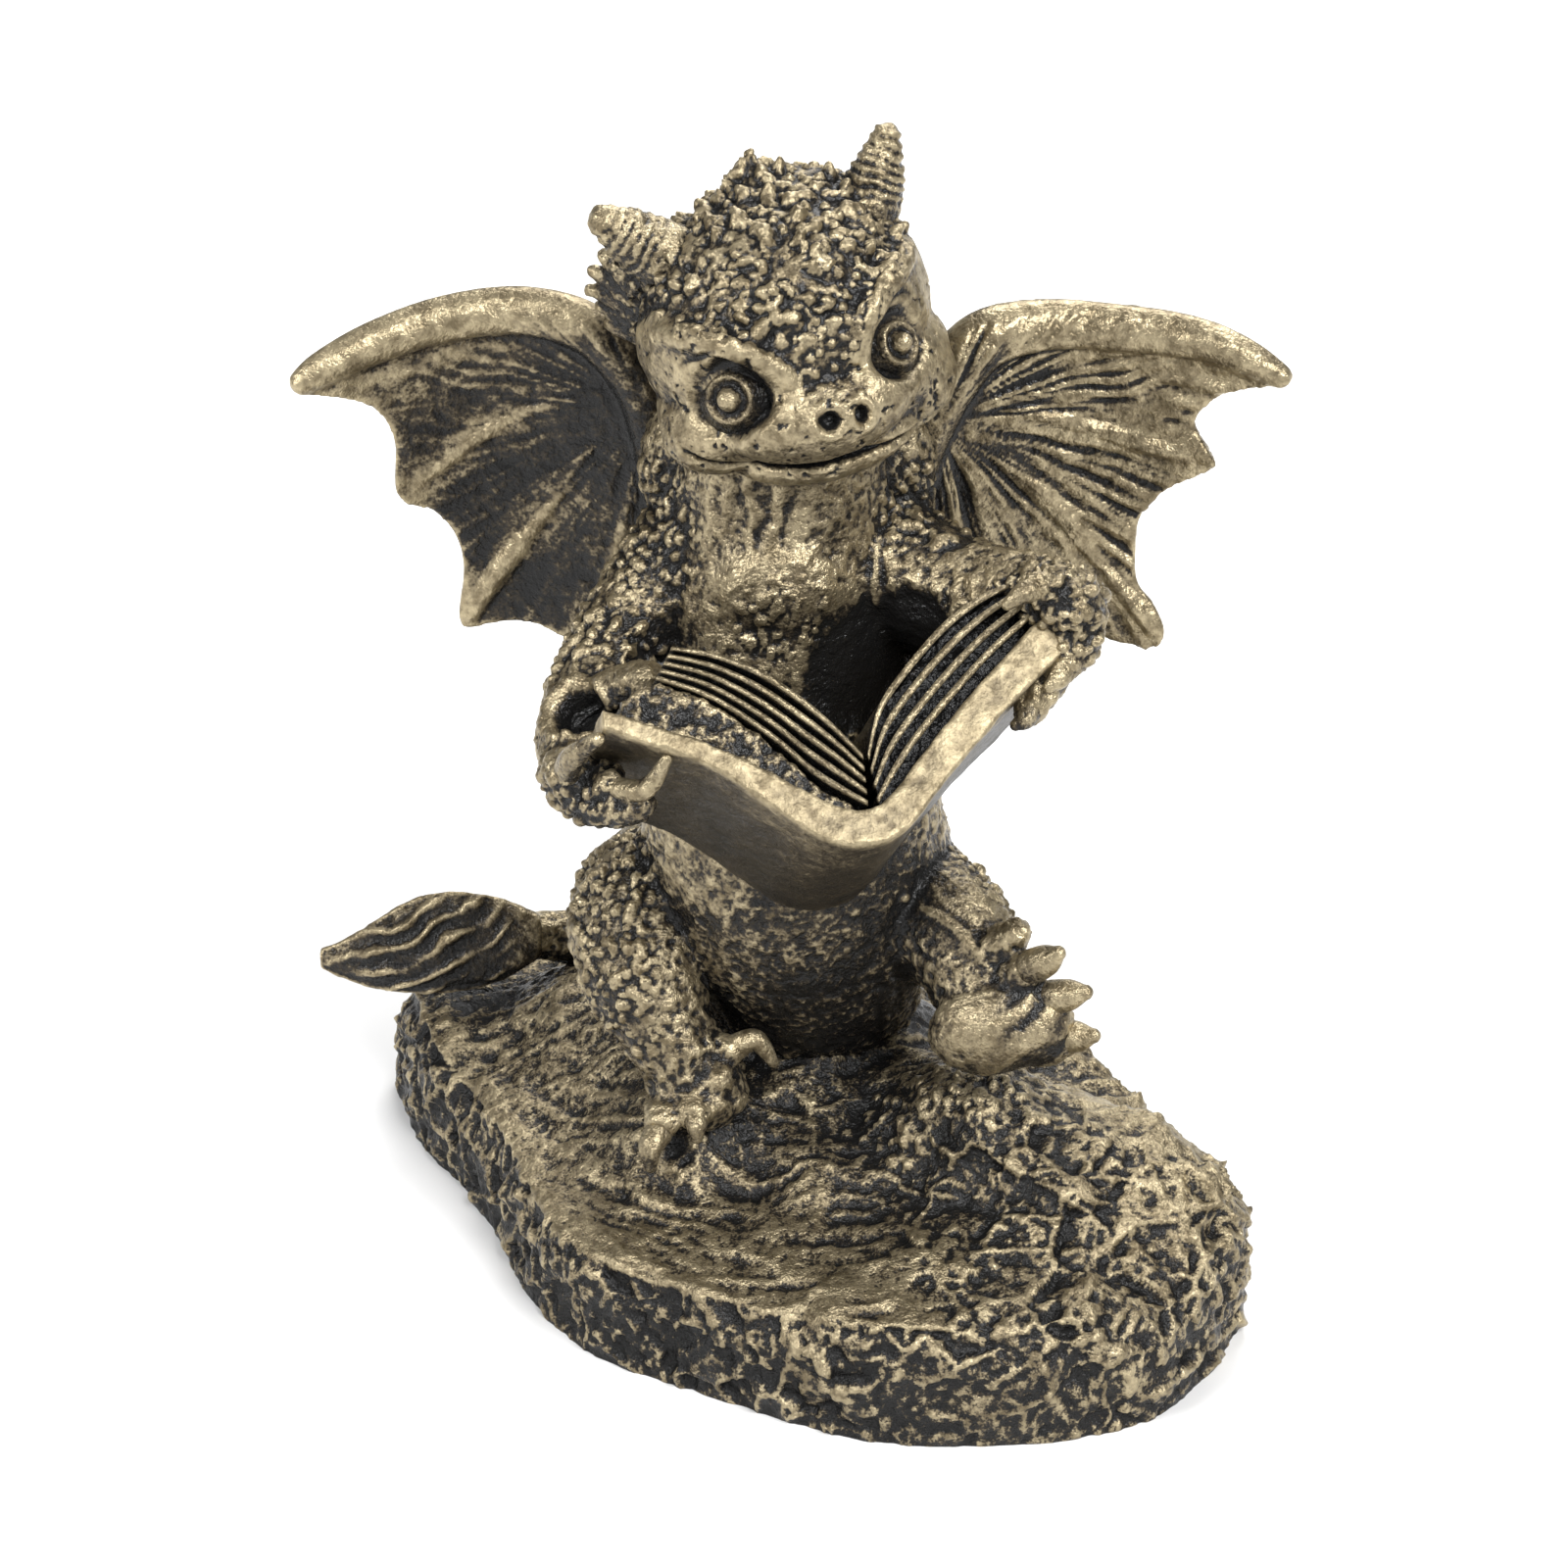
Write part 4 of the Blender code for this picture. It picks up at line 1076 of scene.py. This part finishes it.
def pages_clay():
    """The pages: stuck together at the bottom of the right-hand half, and set back behind the
    grooves elsewhere."""
    clay = bmesh.new()
    under, over = (spline(edge, 5) for edge in PAGE_BLOCK)
    prism(clay, under + over[::-1], (BLOCK_START, LEAVES_END))
    for lowest, highest in (RIGHT_LEAVES, LEFT_LEAVES):
        outline = layer(spline(lowest, 6)[1:], spline(highest, 6)[1:], -0.1, 0.93)
        prism(clay, outline, (GROOVES_END, PAGES_END))
    return facing_out(clay)


def pages_relief(points, _):
    """A pitted edge, darker the further in."""
    height = 0.25 * beads(points, 1.1, 0.7, 102) + 0.3 * lumps(points / 0.9, 103) - 0.15
    return height, -1.3 - 2 * rise(points[:, 1], 1.6, 2.4), 0.7


def book_leaves():
    """The leaves, gold on their near edges and not in the grooves."""
    clay = bmesh.new()
    stations = [LEAVES_START + t * (LEAVES_END - LEAVES_START) for t in LEAF_STATIONS]
    for (lowest, highest), count in zip((RIGHT_LEAVES, LEFT_LEAVES), LEAF_COUNTS):
        for k in range(1, count + 1):
            outline = layer(spline(lowest, 6), spline(highest, 6), (k - LEAF_SHARE) / count,
                            k / count)
            prism(clay, outline, stations)
    leaves = piece_from(facing_out(clay), "book_leaves")
    note_gilt(leaves, np.interp(skin_of(leaves)[0][:, 1] - LEAVES_START, *LEAF_GOLD))
    leaves.data.transform(BOOK)
    return leaves


cover = fused(cover_clay(), "book_cover", BOARD_GRAIN, rounding=3)
carved(cover, cover_relief, place=BOOK)
finished(cover, brushed_resin("gilded_cover", gold=0, speck=0.25, softness=2, tooth=0.06,
                              dullness=0.52))
block = fused(pages_clay(), "page_block", BOARD_GRAIN, rounding=2)
carved(block, pages_relief, place=BOOK)
finished(block, brushed_resin("gilded_pages"))
leaves = book_leaves()
finished(leaves, brushed_resin("gilded_leaves", gold=0.1, speck=0.3))


# ---- Tail leaf -------------------------------------------------------------------
# The flat leaf at the tail's end, lying on the boulder's back corner, scored with slanting
# ridges.

# Sections: x, height of its middle, half width
TAIL_LEAF = [(-54.5, 19.6, 1.2), (-52.5, 19.4, 2), (-49, 19.9, 3.6), (-45, 21, 5.2),
             (-41, 21.7, 5.9), (-36.5, 22, 5.6), (-32.5, 22.2, 4.4), (-29, 22.6, 2.4)]
LEAF_MIDDLE = -42                   # x of its broadest part
LEAF_LEAN = math.radians(25)        # that its top lies back
LEAF_FACING = Vector((0, -math.cos(LEAF_LEAN), math.sin(LEAF_LEAN)))
LEAF_THICKNESS = 3.2
LEAF_GRAIN = 0.3
VEIN_GAP = 2.3                      # from one slanting ridge to the next
VEIN_SLANT = 0.5


def leaf_clay():
    clay = bmesh.new()
    across = Vector((0, math.sin(LEAF_LEAN), math.cos(LEAF_LEAN)))
    rings = []
    for x, z, spread in spline(TAIL_LEAF, 4):
        bulge = 1 - ((x - LEAF_MIDDLE) / 15) ** 2
        centre = Vector((x, 22, z)) + LEAF_FACING * 1.4 * bulge
        thick = LEAF_THICKNESS / 2 * min(1, 0.3 + spread / 5)
        rings.append([centre + across * math.cos(a) * spread + LEAF_FACING * math.sin(a) * thick
                      for a in around(20)])
    loft(clay, rings)
    return clay


def leaf_relief(points, normals):
    """Slanting ridges over the leaf's face, gold on their crests."""
    x, _, z = points.T
    out = x - LEAF_MIDDLE
    slant = (z - VEIN_SLANT * out - 0.008 * out ** 2
             + 1.1 * lumps(points / 5, 95) + 0.3 * lumps(points / 1.5, 99)) / VEIN_GAP
    crest = hump((slant % 1 - 0.5) * VEIN_GAP, 0, 0.45) * (0.55 + 0.8 * lumps(points / 3, 97))
    scored = rise(-x, 31, 36) * rise(np.abs(normals @ np.array(LEAF_FACING)), 0.3, 0.8)
    height = scored * (0.9 * crest - 0.35) + 0.12 * lumps(points / 1.2, 96, 2)
    return height, scored * (1.2 * crest - 0.5)


leaf = fused(leaf_clay(), "tail_leaf", LEAF_GRAIN, rounding=3)
carved(leaf, leaf_relief)
finished(leaf, brushed_resin("gilded_leaf", gold=-0.6, speck=0.35, softness=1.9))


# ---- Brushing and painted shade --------------------------------------------------
# Deep places under the chin, behind and beneath the book and between the limbs stay black: the
# brush, from above and all round, kept out of them, and they also carry painted shade.

ROOM_STEPS = 20                    # one point in this many is tried
ROOM_REACH = 0.035                 # a wall further off than this is no hindrance
ROOM_CLEAR = 0.003                 # how far off the skin the rays start
HOLLOW_SHADE = 3.4                  # gold lost with the room for brush and light: painted shade
OPEN_ROOM, FAIR_ROOM = 0.7, 0.52    # room past which none is gained, and where none is lost


def brush_and_light_ways():
    """Ways to come from, in an even spiral from overhead to somewhat below."""
    ways = []
    for k in range(1, 20):
        up = 1 - k / 12
        out = math.sin(math.acos(up))
        ways.append(Vector((math.cos(2.4 * k) * out, math.sin(2.4 * k) * out, up)))
    return ways


BRUSH_AND_LIGHT_WAYS = brush_and_light_ways()


def room_for_brush_and_light(casting, piece):
    """For each of a piece's points, the share of ways open to it, for brush and light alike."""
    points, normals, edges = skin_of(piece)
    spots = KDTree(len(points[::ROOM_STEPS]))
    room = []
    for i, (p, n) in enumerate(zip(points[::ROOM_STEPS], normals[::ROOM_STEPS])):
        spot, facing = Vector(p), Vector(n)
        ways = [w for w in BRUSH_AND_LIGHT_WAYS if w.dot(facing) > -0.2] or [facing]
        start = spot + facing * ROOM_CLEAR
        free = sum(casting.ray_cast(start, way, ROOM_REACH)[0] is None for way in ways)
        room.append(free / len(BRUSH_AND_LIGHT_WAYS))
        spots.insert(spot, i)
    spots.balance()
    nearest = [[room[i] for _, i, _ in spots.find_n(p, 3)] for p in points]
    return averaged(np.array(nearest).mean(axis=1)[:, None], edges, 12)[:, 0]


# Darkens the gilt of the hollows, partly as the brush's misses and partly as painted shade.
def darken_unbrushed_and_shaded_hollows(pieces):
    plain = bpy.data.objects["dragon_figurine"]
    casting = BVHTree.FromPolygons([plain.matrix_world @ v.co for v in plain.data.vertices],
                                   [tuple(p.vertices) for p in plain.data.polygons])
    for piece in pieces:
        note = piece.data.attributes["gilt"].data
        gilt = np.empty(len(note))
        note.foreach_get("value", gilt)
        room = np.clip(room_for_brush_and_light(casting, piece), 0, OPEN_ROOM)
        # Painted shade on top of the brush's misses: gold is taken off where brush and light have
        # little room.
        gilt += HOLLOW_SHADE * (room - FAIR_ROOM)
        note.foreach_set("value", gilt)


darken_unbrushed_and_shaded_hollows([rock, body, claws, head, horns, right_wing, left_wing, leaf, legs])


# ---- Studio ----------------------------------------------------------------------
# A white table under soft lights, and the camera at the height of a seated viewer.

# Name, kind, place, angle or size, and power of each
LAMPS = [("key", "SUN", (0.35, -0.42, 0.6), math.radians(38), 3.6),
         ("fill", "AREA", (-0.45, -0.3, 0.45), 0.25, 3),
         ("back", "AREA", (0.1, 0.45, 0.5), 0.4, 3)]
LAMPS_AIM = Vector((0, 0, 0.05))
AIR_GLOW = 0.25
TABLE_WHITE = (0.86, 0.86, 0.86, 1)
VIEW_AIM = Vector((0.00012, 0.00301, 0.0553))
VIEW_DOWN = math.radians(30)
VIEW_DISTANCE = 0.52
VIEW_LENS = 111.15


def studio():
    scene = bpy.context.scene
    world = bpy.data.worlds.new("studio_air")
    world.use_nodes = True
    air = world.node_tree.nodes["Background"]
    air.inputs["Color"].default_value = (1, 1, 1, 1)
    air.inputs["Strength"].default_value = AIR_GLOW
    scene.world = world
    scene.view_settings.view_transform = "Standard"

    for name, kind, place, size, power in LAMPS:
        lamp = bpy.data.lights.new(name, kind)
        lamp.energy = power
        if kind == "SUN":
            lamp.angle = size
        else:
            lamp.size = size
        light = in_scene(name, lamp)
        light.location = place
        light.rotation_euler = (LAMPS_AIM - light.location).to_track_quat("-Z", "Y").to_euler()

    paper = bpy.data.materials.new("white_table")
    paper.use_nodes = True
    shader = paper.node_tree.nodes["Principled BSDF"]
    shader.inputs["Base Color"].default_value = TABLE_WHITE
    shader.inputs["Roughness"].default_value = 0.7
    clay = bmesh.new()
    bmesh.ops.create_grid(clay, size=2.0)
    table = piece_from(clay, "table")
    table.data.materials.append(paper)

    view = bpy.data.cameras.new("view")
    view.sensor_width = 36
    view.lens = VIEW_LENS
    camera = in_scene("camera", view)
    back = Vector((0, -math.cos(VIEW_DOWN), math.sin(VIEW_DOWN)))
    camera.location = VIEW_AIM + VIEW_DISTANCE * back
    camera.rotation_euler = (-back).to_track_quat("-Z", "Y").to_euler()
    scene.camera = camera


studio()
